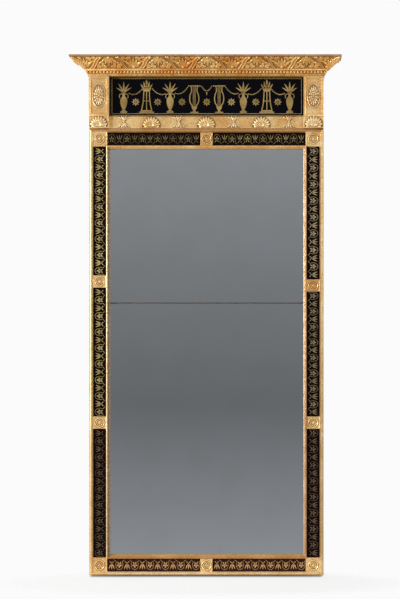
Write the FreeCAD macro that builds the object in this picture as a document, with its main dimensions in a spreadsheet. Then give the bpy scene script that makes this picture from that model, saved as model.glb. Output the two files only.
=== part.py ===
import FreeCAD, Part
import math
import os
from types import SimpleNamespace

import Sketcher

# A tall gilt-wood pier mirror: a pine carcass with two mirror plates, a border of painted glass strips and
# patera blocks, a painted glass frieze between two end blocks, and a carved cornice.
# X runs to the right, the front faces -Y, Z is up. The wall is the plane y = 0, and z = 0 is the joint
# between the two mirror plates.

doc = FreeCAD.newDocument("pier_mirror")
sheet = doc.addObject("Spreadsheet::Sheet", "sizes")

SIZES = {
    # Main frame and its opening
    "frame_width": 890.0,
    "outer_width": 15.0,
    "channel_width": 49.0,
    "sight_width": 12.0,
    "lower_sight_height": 958.0,
    "upper_sight_height": 587.0,
    # Carcass section
    "carcass_depth": 36.0,
    "lip_depth": 14.0,
    "plate_rebate": 12.0,
    "board_rebate": 14.0,
    "board_recess": 14.0,
    # Tenons between rails and stiles
    "tenon_length": 40.0,
    "tenon_thick": 12.0,
    "tenon_inset": 4.0,
    "tenon_shoulder": 16.0,
    "joint_gap": 0.1,
    # Cross rail behind the joint of the plates
    "cross_rail_height": 70.0,
    "cross_rail_lap": 22.0,
    # Plates, packing and backboards
    "plate_thick": 5.0,
    "plate_gap": 1.0,
    "plate_joint": 1.6,
    "packing_width": 10.0,
    "board_thick": 10.0,
    "board_gap": 1.0,
    # Nails in the backboards
    "nail_radius": 1.2,
    "nail_head_radius": 3.0,
    "nail_head_thick": 0.8,
    "nail_length": 26.0,
    "nail_edge": 90.0,
    # Border glass and its mouldings
    "glass_thick": 3.0,
    "glass_lap": 2.0,
    "glass_gap": 0.3,
    "outer_rise": 14.0,
    "outer_round": 8.0,
    "outer_flat": 3.0,
    "outer_drop": 5.0,
    "sight_rise": 15.0,
    "sight_round": 5.5,
    "sight_step": 5.0,
    "sight_flat": 1.0,
    # Patera blocks
    "corner_lap": 4.0,
    "patera_height": 46.0,
    "patera_width": 45.0,
    "patera_thick": 9.0,
    "patera_drop": 15.0,
    "roundel_radius": 19.5,
    "roundel_ring": 5.0,
    "roundel_rise": 3.5,
    "roundel_slope": 1.5,
    "roundel_dish": 0.8,
    "boss_radius": 6.5,
    "boss_rise": 4.5,
    # Shell band and end blocks
    "band_height": 50.0,
    "band_rise": 10.0,
    "band_fillet": 4.0,
    "band_fillet_rise": 2.0,
    "block_rise": 26.0,
    "block_border": 9.0,
    "block_sink": 4.0,
    "die_sink": 2.0,
    "shell_width": 70.0,
    "shell_height": 41.0,
    "shell_rise": 9.0,
    "shell_foot": 3.5,
    "palmette_width": 46.0,
    "palmette_height": 42.0,
    "palmette_rise": 6.0,
    "palmette_waist": 8.0,
    # Frieze and oval paterae
    "frieze_height": 147.0,
    "frieze_glass_thick": 3.0,
    "oval_width": 51.0,
    "oval_height": 97.0,
    "oval_rim": 5.0,
    "oval_plate": 4.0,
    "oval_sink": 2.0,
    "oval_boss_rise": 4.0,
    # Bead course and cornice
    "bed_height": 9.5,
    "bed_rise": 3.0,
    "bead_height": 9.5,
    "bead_seat": 5.0,
    "fillet_height": 7.0,
    "fillet_rise": 13.0,
    "hollow_foot": 15.0,
    "hollow_height": 39.0,
    "hollow_head": 61.0,
    "crown_height": 7.0,
    "crown_rise": 66.0,
    "top_board_thick": 6.0,
    # Hanging hardware
    "hanger_inset": 69.0,
    "hanger_below_top": 55.0,
    "strap_width": 20.0,
    "strap_length": 42.0,
    "strap_thick": 2.0,
    "knuckle_axis": 5.0,
    "knuckle_wall": 2.2,
    "ring_wire": 2.5,
    "ring_clear": 0.15,
    "ring_radius": 17.0,
    "ring_corner": 5.0,
    "screw_radius": 2.0,
    "screw_head_radius": 4.0,
    "screw_length": 15.0,
    "screw_first": 13.0,
    "screw_pitch": 11.0,
    # Length by which a cutting tool passes the face it cuts
    "overrun": 5.0,
}
for row, (alias, value) in enumerate(SIZES.items(), start=1):
    sheet.set(f"A{row}", str(value))
    sheet.setAlias(f"A{row}", alias)
doc.recompute()


class Size:
    """A length together with the sheet expression that gives it."""

    def __init__(self, value, text):
        self.value = value
        self.text = text

    @staticmethod
    def of(thing):
        return thing if isinstance(thing, Size) else Size(float(thing), repr(thing))

    def __add__(self, other):
        other = Size.of(other)
        return Size(self.value + other.value, f"({self.text} + {other.text})")

    def __sub__(self, other):
        other = Size.of(other)
        return Size(self.value - other.value, f"({self.text} - {other.text})")

    def __mul__(self, other):
        other = Size.of(other)
        return Size(self.value * other.value, f"({self.text} * {other.text})")

    def __truediv__(self, other):
        other = Size.of(other)
        return Size(self.value / other.value, f"({self.text} / {other.text})")

    def __neg__(self):
        return self * -1

    __radd__ = __add__
    __rmul__ = __mul__

    def __rsub__(self, other):
        return Size.of(other) - self

    def hypot(self, other):
        """The long side over two lengths at a right angle."""
        return Size(math.hypot(self.value, other.value), f"sqrt({self.text}^2 + {other.text}^2)")


s = SimpleNamespace(**{name: Size(float(sheet.get(name)), f"sizes.{name}") for name in SIZES})

# Places worked out from the driving sizes
half_width = s.frame_width / 2
member = s.outer_width + s.channel_width + s.sight_width
sight_half = half_width - member
plate_half = sight_half + s.plate_rebate
board_half = plate_half + s.board_rebate

base_z = -(member + s.lower_sight_height)
sight_bottom = base_z + member
sight_top = s.upper_sight_height
border_top = sight_top + member
band_top = border_top + s.band_height
frieze_top = band_top + s.frieze_height
bed_top = frieze_top + s.bed_height
bead_top = bed_top + s.bead_height
fillet_top = bead_top + s.fillet_height
hollow_top = fillet_top + s.hollow_height
crown_top = hollow_top + s.crown_height
carcass_top = crown_top - s.top_board_thick

front = -s.carcass_depth
lip_back = front + s.lip_depth
board_front = -s.board_recess
block_front = front - s.block_rise
band_front = front - s.band_rise

built = []


def bind(thing, **properties):
    """Tie properties of a document object to sheet expressions; double underscores stand for dots."""
    for name, length in properties.items():
        thing.setExpression(name.replace("__", "."), Size.of(length).text)


def place(thing, x=0, y=0, z=0, turn=None):
    """Put an object at a bound point, turned first about an axis by an angle in degrees."""
    rotation = FreeCAD.Rotation(FreeCAD.Vector(*turn[0]), turn[1]) if turn else FreeCAD.Rotation()
    thing.Placement = FreeCAD.Placement(FreeCAD.Vector(), rotation)
    bind(thing, Placement__Base__x=x, Placement__Base__y=y, Placement__Base__z=z)
    return thing


def keep(label, thing):
    """Name a finished sub-part and put it on the list of files."""
    thing.Label = label
    built.append(thing)
    return thing


def box(name, x, y, z):
    """A block between a low and a high bound on each axis."""
    block = doc.addObject("Part::Box", name)
    spans = {}
    for prop, (low, high) in zip(("Length", "Width", "Height"), (x, y, z)):
        spans[prop] = Size.of(high) - low
    bind(block, **spans)
    return place(block, x[0], y[0], z[0])


FORWARD = ((1, 0, 0), 90)  # turns a tool that points up so that it points to the front


def rod(name, at, radius, length):
    """A cylinder that runs from a point towards the front."""
    cylinder = doc.addObject("Part::Cylinder", name)
    bind(cylinder, Radius=radius, Height=length)
    return place(cylinder, *at, turn=FORWARD)


def cone(name, at, back_radius, front_radius, length):
    """A cone that runs from a point towards the front."""
    taper = doc.addObject("Part::Cone", name)
    bind(taper, Radius1=back_radius, Radius2=front_radius, Height=length)
    return place(taper, *at, turn=FORWARD)


def fuse(name, shapes):
    union = doc.addObject("Part::MultiFuse", name)
    union.Shapes = shapes
    union.Refine = True
    return union


def cut(name, base, tools):
    """A base shape less one tool or the union of several."""
    difference = doc.addObject("Part::Cut", name)
    difference.Base = base
    difference.Tool = tools[0] if len(tools) == 1 else fuse(f"{name}_tools", tools)
    return difference


def group(name, shapes):
    """Separate solids that share one sub-part."""
    compound = doc.addObject("Part::Compound", name)
    compound.Links = shapes
    return compound


def arc_between(start, end, radius, side):
    """The short arc from start to end, with its centre on the left (side 1) or right (side -1)."""
    chord = end - start
    middle = (start + end) * 0.5
    reach = math.sqrt(max(radius**2 - (chord.Length / 2) ** 2, 0.0))
    left = FreeCAD.Vector(-chord.y, chord.x, 0).normalize()
    centre = middle + left * (reach * side)
    angles = [math.atan2(p.y - centre.y, p.x - centre.x) for p in (start, end)]
    first, last = angles if side > 0 else reversed(angles)
    circle = Part.Circle(centre, FreeCAD.Vector(0, 0, 1), radius)
    return Part.ArcOfCircle(circle, first, last if last > first else last + 2 * math.pi)


def draw(body, plane, name, outline, offset=0):
    """A closed sketch on an origin plane of a body, with every corner bound to the sheet.

    A corner is (across, up), or (across, up, radius, side) where the edge that leaves it is an arc.
    """
    sketch = body.newObject("Sketcher::SketchObject", name)
    origin = next(p for p in body.Origin.OriginFeatures if p.Role == plane)
    sketch.AttachmentSupport = (origin, [""])
    sketch.MapMode = "FlatFace"
    bind(sketch, AttachmentOffset__Base__z=offset)
    corners = [tuple(Size.of(value) for value in corner[:2]) + tuple(corner[2:]) for corner in outline]
    points = [FreeCAD.Vector(corner[0].value, corner[1].value, 0) for corner in corners]
    count = len(corners)
    starts = []
    for i, corner in enumerate(corners):
        start, end = points[i], points[(i + 1) % count]
        if len(corner) == 4:
            sketch.addGeometry(arc_between(start, end, Size.of(corner[2]).value, corner[3]), False)
            starts.append((1, 2) if corner[3] > 0 else (2, 1))
        else:
            sketch.addGeometry(Part.LineSegment(start, end), False)
            starts.append((1, 2))
    for i in range(count):
        after = (i + 1) % count
        sketch.addConstraint(Sketcher.Constraint("Coincident", i, starts[i][1], after, starts[after][0]))
    for i, corner in enumerate(corners):
        for kind, axis, length in (("DistanceX", -2, corner[0]), ("DistanceY", -1, corner[1])):
            if length.text in ("0", "0.0"):
                sketch.addConstraint(Sketcher.Constraint("PointOnObject", i, starts[i][0], axis))
                continue
            number = sketch.addConstraint(
                Sketcher.Constraint(kind, -1, 1, i, starts[i][0], length.value))
            sketch.setExpression(f"Constraints[{number}]", length.text)
        if len(corner) == 4:
            radius = Size.of(corner[2])
            number = sketch.addConstraint(Sketcher.Constraint("Radius", i, radius.value))
            sketch.setExpression(f"Constraints[{number}]", radius.text)
    return sketch


def new_body(label):
    return doc.addObject("PartDesign::Body", label)


def pad(body, sketch, length):
    feature = body.newObject("PartDesign::Pad", f"{body.Name}_pad")
    feature.Profile = sketch
    bind(feature, Length=length)
    return feature


def pocket(body, sketch, depth=None):
    """A pocket behind its sketch, or right through both ways where no depth is given."""
    feature = body.newObject("PartDesign::Pocket", f"{body.Name}_pocket")
    feature.Profile = sketch
    if depth is None:
        feature.SideType = "Symmetric"
        feature.Type = "ThroughAll"
    else:
        bind(feature, Length=depth)
    return feature


def revolve(body, sketch, axis):
    feature = body.newObject("PartDesign::Revolution", f"{body.Name}_turned")
    feature.Profile = sketch
    feature.ReferenceAxis = (sketch, [axis])
    feature.Angle = 360
    return feature


def rectangle(x, z):
    return [(x[0], z[0]), (x[1], z[0]), (x[1], z[1]), (x[0], z[1])]


# Fasteners come first, because the pieces that they hold are bored with them

def nail(name, x, z):
    """A nail driven from the back of a backboard into the frame."""
    back = board_front + s.board_thick
    head = rod(f"{name}_head", (x, back + s.nail_head_thick, z), s.nail_head_radius, s.nail_head_thick)
    shank = rod(f"{name}_shank", (x, back, z), s.nail_radius, s.nail_length)
    return fuse(name, [head, shank])


def nail_rows():
    """Nails down both sides of each backboard, spaced evenly between its ends."""
    cross = s.cross_rail_height / 2
    spans = {
        "lower": (sight_bottom, -cross, 5),
        "upper": (cross, sight_top, 4),
        "frieze": (band_top - s.plate_rebate, frieze_top + s.plate_rebate, 2),
    }
    nails = []
    for board, (low, high, count) in spans.items():
        edge = s.nail_edge if count > 2 else (high - low) / (count * 2)
        step = (high - low - edge * 2) / (count - 1)
        for side, hand in ((-1, "left"), (1, "right")):
            x = (plate_half + s.board_rebate / 2) * side
            for i in range(count):
                nails.append(nail(f"nail_{board}_{hand}_{i}", x, low + edge + step * i))
    return nails


hanger_x = sight_half - s.hanger_inset
pivot_z = band_top - s.hanger_below_top
pivot_y = board_front + s.knuckle_axis
strap_back = board_front + s.strap_thick


def screw(name, x, z):
    """A countersunk wood screw with its head flush with the strap."""
    at = (x, strap_back, z)
    head = cone(f"{name}_head", at, s.screw_head_radius, s.screw_radius, s.strap_thick)
    shank = rod(f"{name}_shank", at, s.screw_radius, s.screw_length)
    return fuse(name, [head, shank])


backboard_nails = keep("backboard_nails", group("backboard_nails", nail_rows()))
screws = [
    screw(f"screw_{side}_{i}", hanger_x * side, pivot_z - s.screw_first - s.screw_pitch * i)
    for side in (-1, 1)
    for i in range(3)
]
hanger_screws = keep("hanger_screws", group("hanger_screws", screws))


# Carcass: two stiles with stepped rebates, and rails tenoned between them

def tenon_span(low, high):
    """Height of a tenon inside the height of its rail."""
    return low + s.tenon_shoulder, high - s.tenon_shoulder


tenon_y = (front + s.tenon_inset, front + s.tenon_inset + s.tenon_thick)
rail_spans = {
    "bottom_rail": (base_z, sight_bottom),
    "architrave_rail": (sight_top, band_top),
    "cornice_rail": (frieze_top, carcass_top),
}
# The part of each rail that reaches full height behind its rebates carries the tenon
tenons = {
    "bottom_rail": tenon_span(base_z, sight_bottom - s.plate_rebate),
    "architrave_rail": tenon_span(sight_top + s.plate_rebate, band_top - s.plate_rebate),
    "cornice_rail": tenon_span(frieze_top + s.plate_rebate, carcass_top),
}
cross_rail_z = (-s.cross_rail_height / 2, s.cross_rail_height / 2)


def outward(side, inner, outer):
    """Low and high X of a stretch between an inner and an outer distance on one side."""
    return (inner, outer) if side > 0 else (-outer, -inner)


def stile(label, side):
    tall = (base_z, carcass_top)
    past = (base_z - s.overrun, carcass_top + s.overrun)
    blank = box(f"{label}_blank", outward(side, sight_half, half_width), (front, 0), tall)
    inner = sight_half - s.overrun
    tools = [
        box(f"{label}_plate_rebate", outward(side, inner, plate_half), (lip_back, s.overrun), past),
        box(f"{label}_board_rebate", outward(side, inner, board_half), (board_front, s.overrun), past),
        box(
            f"{label}_cross_lap",
            outward(side, inner, board_half + s.cross_rail_lap + s.joint_gap),
            (board_front, s.overrun),
            (cross_rail_z[0] - s.joint_gap, cross_rail_z[1] + s.joint_gap),
        ),
    ]
    for rail, (low, high) in tenons.items():
        tools.append(
            box(
                f"{label}_{rail}_mortise",
                outward(side, inner, sight_half + s.tenon_length + s.joint_gap),
                (tenon_y[0] - s.joint_gap, tenon_y[1] + s.joint_gap),
                (low - s.joint_gap, high + s.joint_gap),
            )
        )
    shaped = cut(f"{label}_shaped", blank, tools)
    return keep(label, cut(label, shaped, [backboard_nails]))


def rail(label, back):
    """A rail whose shoulders fill the stile rebates; `back` is its rear face."""
    low, high = rail_spans[label]
    layers = [(sight_half, (front, lip_back)), (plate_half, (lip_back, board_front))]
    if back != board_front:
        layers.append((board_half, (board_front, back)))
    pieces = []
    for i, (reach, depth) in enumerate(layers):
        pieces.append(box(f"{label}_layer_{i}", (-reach, reach), depth, (low, high)))
    reach = sight_half + s.tenon_length
    pieces.append(box(f"{label}_tenon", (-reach, reach), tenon_y, tenons[label]))
    return fuse(f"{label}_blank", pieces)


def rail_rebates(label, edge, inward):
    """Plate and board rebates along one edge of a rail; `inward` is 1 where the rail lies above the edge."""
    reach = board_half + s.overrun
    tools = []
    for kind, start, width in (
        ("plate", lip_back, s.plate_rebate),
        ("board", board_front, s.plate_rebate + s.board_rebate),
    ):
        heights = (edge - s.overrun, edge + width) if inward > 0 else (edge - width, edge + s.overrun)
        name = f"{label}_{kind}_rebate_{'low' if inward > 0 else 'high'}"
        tools.append(box(name, (-reach, reach), (start, s.overrun), heights))
    return tools


stile("left_stile", -1)
stile("right_stile", 1)

keep("bottom_rail", cut("bottom_rail", rail("bottom_rail", 0), rail_rebates("bottom_rail", sight_bottom, -1)))
keep("cornice_rail", cut("cornice_rail", rail("cornice_rail", 0), rail_rebates("cornice_rail", frieze_top, 1)))
keep(
    "architrave_rail",
    cut(
        "architrave_rail",
        rail("architrave_rail", board_front),
        rail_rebates("architrave_rail", sight_top, 1)
        + rail_rebates("architrave_rail", band_top, -1)
        + [hanger_screws],
    ),
)
cross_reach = board_half + s.cross_rail_lap
keep("cross_rail", box("cross_rail", (-cross_reach, cross_reach), (board_front, 0), cross_rail_z))


# Mirror plates and frieze glass in the front rebates, packing strips behind them, boards behind those

plate_edge = plate_half - s.plate_gap
board_edge = board_half - s.board_gap
plate_y = (lip_back, lip_back + s.plate_thick)
frieze_y = (lip_back, lip_back + s.frieze_glass_thick)
board_y = (board_front, board_front + s.board_thick)
plate_low = sight_bottom - s.plate_rebate + s.plate_gap
plate_high = sight_top + s.plate_rebate - s.plate_gap
frieze_low = band_top - s.plate_rebate + s.plate_gap
frieze_high = frieze_top + s.plate_rebate - s.plate_gap
across = (-plate_edge, plate_edge)

keep("mirror_plate_lower", box("mirror_plate_lower", across, plate_y, (plate_low, -s.plate_joint / 2)))
keep("mirror_plate_upper", box("mirror_plate_upper", across, plate_y, (s.plate_joint / 2, plate_high)))
keep("frieze_glass", box("frieze_glass", across, frieze_y, (frieze_low, frieze_high)))


def packing(name, depth, low, high):
    """Strips round the edge of a glass, between its back and the backboard."""
    inner = plate_edge - s.packing_width
    return [
        box(f"{name}_left", (-plate_edge, -inner), depth, (low, high)),
        box(f"{name}_right", (inner, plate_edge), depth, (low, high)),
        box(f"{name}_bottom", (-inner, inner), depth, (low, low + s.packing_width)),
        box(f"{name}_top", (-inner, inner), depth, (high - s.packing_width, high)),
    ]


plate_pack = (plate_y[1], board_front)
joint_strip = box(
    "packing_joint",
    (-plate_edge + s.packing_width, plate_edge - s.packing_width),
    plate_pack,
    (-s.packing_width, s.packing_width),
)
strips = packing("packing_mirror", plate_pack, plate_low, plate_high)
strips += packing("packing_frieze", (frieze_y[1], board_front), frieze_low, frieze_high)
keep("packing_strips", group("packing_strips", strips + [joint_strip]))

board_lap = s.plate_rebate + s.board_rebate - s.board_gap
board_spans = {
    "backboard_lower": (sight_bottom - board_lap, cross_rail_z[0] - s.board_gap),
    "backboard_upper": (cross_rail_z[1] + s.board_gap, sight_top + board_lap),
    "backboard_frieze": (band_top - board_lap, frieze_top + board_lap),
}
for label, span in board_spans.items():
    blank = box(f"{label}_blank", (-board_edge, board_edge), board_y, span)
    keep(label, cut(label, blank, [backboard_nails]))


# Mouldings of the border. A profile is drawn as (across from the outer edge, rise above the carcass).

lap_rise = s.glass_thick + s.glass_gap
lap_width = s.glass_lap + s.glass_gap
outer_side = s.outer_rise - s.outer_round
sight_side = s.sight_rise - s.sight_round
sight_crest = s.sight_round + s.sight_flat
hollow_round_share = 0.72  # radius of the sight moulding's hollow as a share of its chord
sight_hollow = (s.sight_width - sight_crest).hypot(s.sight_rise - s.sight_step) * hollow_round_share

outer_profile = [
    (0, 0),
    (0, outer_side, s.outer_round, -1),
    (s.outer_round, s.outer_rise),
    (s.outer_round + s.outer_flat, s.outer_rise),
    (s.outer_width, s.outer_rise - s.outer_drop),
    (s.outer_width, lap_rise),
    (s.outer_width - lap_width, lap_rise),
    (s.outer_width - lap_width, 0),
]
sight_profile = [
    (lap_width, 0),
    (lap_width, lap_rise),
    (0, lap_rise),
    (0, sight_side, s.sight_round, -1),
    (s.sight_round, s.sight_rise),
    (sight_crest, s.sight_rise, sight_hollow, 1),
    (s.sight_width, s.sight_step),
    (s.sight_width, 0),
]


def laid(profile, where):
    """A profile turned to its place in a sketch, with arcs turned over where the place mirrors it."""
    origin, along, up = (tuple(Size.of(v).value for v in where(*p)) for p in ((0, 0), (1, 0), (0, 1)))
    sign = (along[0] - origin[0]) * (up[1] - origin[1]) - (along[1] - origin[1]) * (up[0] - origin[0])
    turned = []
    for corner in profile:
        point = where(corner[0], corner[1])
        if len(corner) == 4:
            point += (corner[2], corner[3] if sign > 0 else -corner[3])
        turned.append(point)
    return turned


def upright_moulding(label, profile, side, edge, low, high):
    """A moulding that stands on one side, its outer edge `edge` away from the middle."""
    body = new_body(label)
    turned = laid(profile, lambda a, p: (edge * side - Size.of(a) * side, front - p))
    pad(body, draw(body, "XY_Plane", f"{label}_profile", turned, low), high - low)
    return body


def level_moulding(label, profile, edge, rising, reach):
    """A moulding that lies across, its outer edge at height `edge`; rising is 1 where it grows upwards."""
    body = new_body(label)
    turned = laid(profile, lambda a, p: (front - p, edge + Size.of(a) * rising))
    pad(body, draw(body, "YZ_Plane", f"{label}_profile", turned, -reach), reach * 2)
    return body


def trim(body, name, corners):
    """Cut the outline of a mitre or a notch right through a moulding, seen from the front."""
    return pocket(body, draw(body, "XZ_Plane", f"{body.Name}_{name}", corners))


def mitre(body, name, outer, inner, waste):
    """Cut the waste beyond the line from an outer to an inner corner; `waste` is the far corner."""
    return trim(body, name, [outer, inner, waste])


def square_round(x, z, half):
    return rectangle((x - half, x + half), (z - half, z + half))


# Centres of the border's channels, where the corner blocks sit
channel_x = half_width - s.outer_width - s.channel_width / 2
channel_low = base_z + s.outer_width + s.channel_width / 2
channel_high = border_top - s.outer_width - s.channel_width / 2
corner_half = s.channel_width / 2 + s.corner_lap
corner_places = {
    "top_left": (-channel_x, channel_high),
    "top_right": (channel_x, channel_high),
    "bottom_left": (-channel_x, channel_low),
    "bottom_right": (channel_x, channel_low),
}


def notch(body, corner):
    """Let a corner block into the edge of a moulding."""
    trim(body, f"notch_{corner}", square_round(*corner_places[corner], corner_half + s.joint_gap))


def frame_of_mouldings(names, profile, reach, low, high, width):
    """Four mitred mouldings round a rectangle, notched for the corner blocks."""
    inner = reach - width
    for side, key in ((-1, "left"), (1, "right")):
        body = upright_moulding(names[key], profile, side, reach, low, high)
        mitre(body, "low_mitre", (reach * side, low), (inner * side, low + width), (inner * side, low))
        mitre(body, "high_mitre", (reach * side, high), (inner * side, high - width), (inner * side, high))
        notch(body, f"bottom_{key}")
        notch(body, f"top_{key}")
        keep(names[key], body)
    for key, edge, rising in (("bottom", low, 1), ("top", high, -1)):
        body = level_moulding(names[key], profile, edge, rising, reach)
        for side, hand in ((-1, "left"), (1, "right")):
            far = edge + width * rising
            mitre(body, f"{hand}_mitre", (reach * side, edge), (inner * side, far), (reach * side, far))
            notch(body, f"{key}_{hand}")
        keep(names[key], body)


frame_of_mouldings(
    {
        "left": "outer_moulding_left",
        "right": "outer_moulding_right",
        "bottom": "outer_moulding_bottom",
        "top": "architrave_moulding",
    },
    outer_profile, half_width, base_z, border_top, s.outer_width)
frame_of_mouldings(
    {key: f"sight_moulding_{key}" for key in ("left", "right", "bottom", "top")},
    sight_profile,
    sight_half + s.sight_width,
    sight_bottom - s.sight_width,
    sight_top + s.sight_width,
    s.sight_width)


# Patera blocks: a square block with a turned roundel

def patera(label, x, z, width, height):
    body = new_body(label)
    half = (width / 2, height / 2)
    face = draw(body, "XZ_Plane", f"{label}_block", rectangle((-half[0], half[0]), (-half[1], half[1])))
    pad(body, face, s.patera_thick)
    top = -s.patera_thick
    ring_inner = s.roundel_radius - s.roundel_ring
    profile = [
        (top / 2, 0),
        (top / 2, s.roundel_radius),
        (top, s.roundel_radius),
        (top - s.roundel_rise, s.roundel_radius - s.roundel_slope),
        (top - s.roundel_rise, ring_inner + s.roundel_slope),
        (top - s.roundel_dish, ring_inner),
        (top - s.roundel_dish, s.boss_radius),
        (top - s.boss_rise, s.boss_radius - s.roundel_slope),
        (top - s.boss_rise, 0),
    ]
    revolve(body, draw(body, "YZ_Plane", f"{label}_roundel", profile), "H_Axis")
    return keep(label, place(body, x, front, z))


fit_width = s.channel_width - s.joint_gap * 2
corner_size = corner_half * 2
stile_low = channel_low + corner_half
stile_high = channel_high - corner_half
panel_height = (stile_high - stile_low - s.patera_height * 2) / 3
lower_patera_z = stile_low + panel_height + s.patera_height / 2
upper_patera_z = lower_patera_z + panel_height + s.patera_height

for corner, (x, z) in corner_places.items():
    patera(f"patera_{corner}", x, z, corner_size, corner_size)
patera_heights = {
    "left": (lower_patera_z, upper_patera_z),
    "right": (lower_patera_z, upper_patera_z - s.patera_drop),
}
for side, hand in ((-1, "left"), (1, "right")):
    for level, z in zip(("lower", "upper"), patera_heights[hand]):
        patera(f"patera_{hand}_{level}", channel_x * side, z, fit_width, s.patera_height)
for level, z in (("top", channel_high), ("bottom", channel_low)):
    patera(f"patera_{level}", Size.of(0), z, s.patera_width, fit_width)


# Border glass strips between the blocks, their edges under the mouldings

strip_half = s.channel_width / 2 + s.glass_lap
glass_y = (front - s.glass_thick, front)
half_block = s.patera_height / 2
for side, hand in ((-1, "left"), (1, "right")):
    lower, upper = patera_heights[hand]
    stretches = {
        "lower": (stile_low, lower - half_block),
        "middle": (lower + half_block, upper - half_block),
        "upper": (upper + half_block, stile_high),
    }
    x = (channel_x * side - strip_half, channel_x * side + strip_half)
    for level, (low, high) in stretches.items():
        label = f"glass_{hand}_{level}"
        keep(label, box(label, x, glass_y, (low + s.glass_gap, high - s.glass_gap)))
for level, z in (("top", channel_high), ("bottom", channel_low)):
    for side, hand in ((-1, "left"), (1, "right")):
        label = f"glass_{level}_{hand}"
        inner = s.patera_width / 2 + s.glass_gap
        outer = channel_x - corner_half - s.glass_gap
        keep(label, box(label, outward(side, inner, outer), glass_y, (z - strip_half, z + strip_half)))


# End blocks of the frieze: a sunk panel for the oval patera, and below it a die set back for the shell

def end_block(label, side):
    body = new_body(label)
    x = outward(side, sight_half, half_width)
    face = draw(body, "XZ_Plane", f"{label}_face", rectangle(x, (border_top, frieze_top)), -front)
    pad(body, face, s.block_rise)
    field = (x[0] + s.block_border, x[1] - s.block_border)
    heights = (band_top + s.block_border, frieze_top - s.block_border)
    sunk = draw(body, "XZ_Plane", f"{label}_sunk", rectangle(field, heights), -block_front)
    pocket(body, sunk, s.block_sink)
    die = (border_top + s.band_fillet, band_top - s.band_fillet)
    recess = draw(body, "XZ_Plane", f"{label}_die", rectangle(x, die), -block_front)
    pocket(body, recess, s.die_sink)
    return keep(label, body)


end_block("end_block_left", -1)
end_block("end_block_right", 1)


end_x = (half_width + sight_half) / 2
oval_boss_shares = (1 / 3, 1 / 2)  # width and height of the boss as shares of the oval


def oval_plate(name, x, z, y, across_oval, up_oval, thick):
    """An oval disc that rises to the front from depth y."""
    ring = doc.addObject("Part::Ellipse", f"{name}_edge")
    bind(ring, MajorRadius=up_oval, MinorRadius=across_oval)
    ring.Placement = FreeCAD.Placement(
        FreeCAD.Vector(), FreeCAD.Rotation(FreeCAD.Vector(1, 0, 0), 90) * FreeCAD.Rotation(
            FreeCAD.Vector(0, 0, 1), 90))
    bind(ring, Placement__Base__x=x, Placement__Base__y=y, Placement__Base__z=z)
    disc = doc.addObject("Part::Extrusion", name)
    disc.Base = ring
    disc.DirMode = "Custom"
    disc.Dir = FreeCAD.Vector(0, -1, 0)
    disc.Solid = True
    bind(disc, LengthFwd=thick)
    return disc


def oval_patera(label, side):
    x = end_x * side
    z = (band_top + frieze_top) / 2
    seat = block_front + s.block_sink
    wide, tall = s.oval_width / 2, s.oval_height / 2
    disc = oval_plate(f"{label}_disc", x, z, seat, wide, tall, s.oval_plate)
    floor = seat - s.oval_plate + s.oval_sink
    dish = oval_plate(
        f"{label}_dish", x, z, floor, wide - s.oval_rim, tall - s.oval_rim, s.oval_sink + s.overrun)
    boss_wide, boss_tall = wide * oval_boss_shares[0], tall * oval_boss_shares[1]
    boss = oval_plate(f"{label}_boss", x, z, floor, boss_wide, boss_tall, s.oval_boss_rise)
    return keep(label, fuse(label, [cut(f"{label}_rim", disc, [dish]), boss]))


oval_patera("oval_patera_left", -1)
oval_patera("oval_patera_right", 1)


# Shell band: a board with a small fillet along its top and bottom

band = new_body("shell_band")
fillet_front = band_front - s.band_fillet_rise
band_outline = [
    (front, border_top),
    (fillet_front, border_top),
    (fillet_front, border_top + s.band_fillet),
    (band_front, border_top + s.band_fillet),
    (band_front, band_top - s.band_fillet),
    (fillet_front, band_top - s.band_fillet),
    (fillet_front, band_top),
    (front, band_top),
]
pad(band, draw(band, "YZ_Plane", "shell_band_profile", band_outline, -sight_half), sight_half * 2)
keep("shell_band", band)

LOBES = 7
lobe_reach_share = 0.5  # half angle of the fan, as a share of a half turn
lobe_notch_share = 0.91  # how far out the notches between the lobes lie, as a share of the shell
lobe_round_share = 0.7  # lobe radius as a share of its chord
lobe_foot_share = 0.28  # half width of the hinge as a share of the shell's width


def shell(name, x, y, z):
    """A scallop: a fan of rounded lobes over a narrow hinge, standing on a face."""
    body = new_body(name)
    reach = math.pi * lobe_reach_share
    wide = s.shell_width / 2 * lobe_notch_share
    tall = (s.shell_height - s.shell_foot) * lobe_notch_share
    steps = [reach - 2 * reach * i / LOBES for i in range(LOBES + 1)]
    outline = []
    for i, angle in enumerate(steps):
        point = (wide * math.sin(angle), s.shell_foot + tall * max(math.cos(angle), 0.0))
        if i < LOBES:
            after = steps[i + 1]
            run = wide * abs(math.sin(angle) - math.sin(after))
            climb = tall * abs(math.cos(angle) - math.cos(after))
            point += (run.hypot(climb) * lobe_round_share, 1)
        outline.append(point)
    foot = s.shell_width * lobe_foot_share
    outline += [(-foot, 0), (foot, 0)]
    pad(body, draw(body, "XZ_Plane", f"{name}_outline", outline), s.shell_rise)
    return place(body, x, y, z)


shell_z = border_top + (s.band_height - s.shell_height) / 2
shell_pitch_share = 0.565  # from one shell to the next, as a share of half the opening
shell_pitch = sight_half * shell_pitch_share
shells = [shell(f"band_shell_{i}", shell_pitch * (i - 1), band_front, shell_z) for i in range(3)]
die_front = block_front + s.die_sink
for side, hand in ((-1, "left"), (1, "right")):
    shells.append(shell(f"end_shell_{hand}", end_x * side, die_front, shell_z))
keep("carved_shells", group("carved_shells", shells))

# Half outline of one palmette, from the waist up: shares of its half width and half height
palmette_shares = ((0.55, 0.38), (1.0, 0.62), (0.62, 0.82), (0.34, 1.0))


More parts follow.
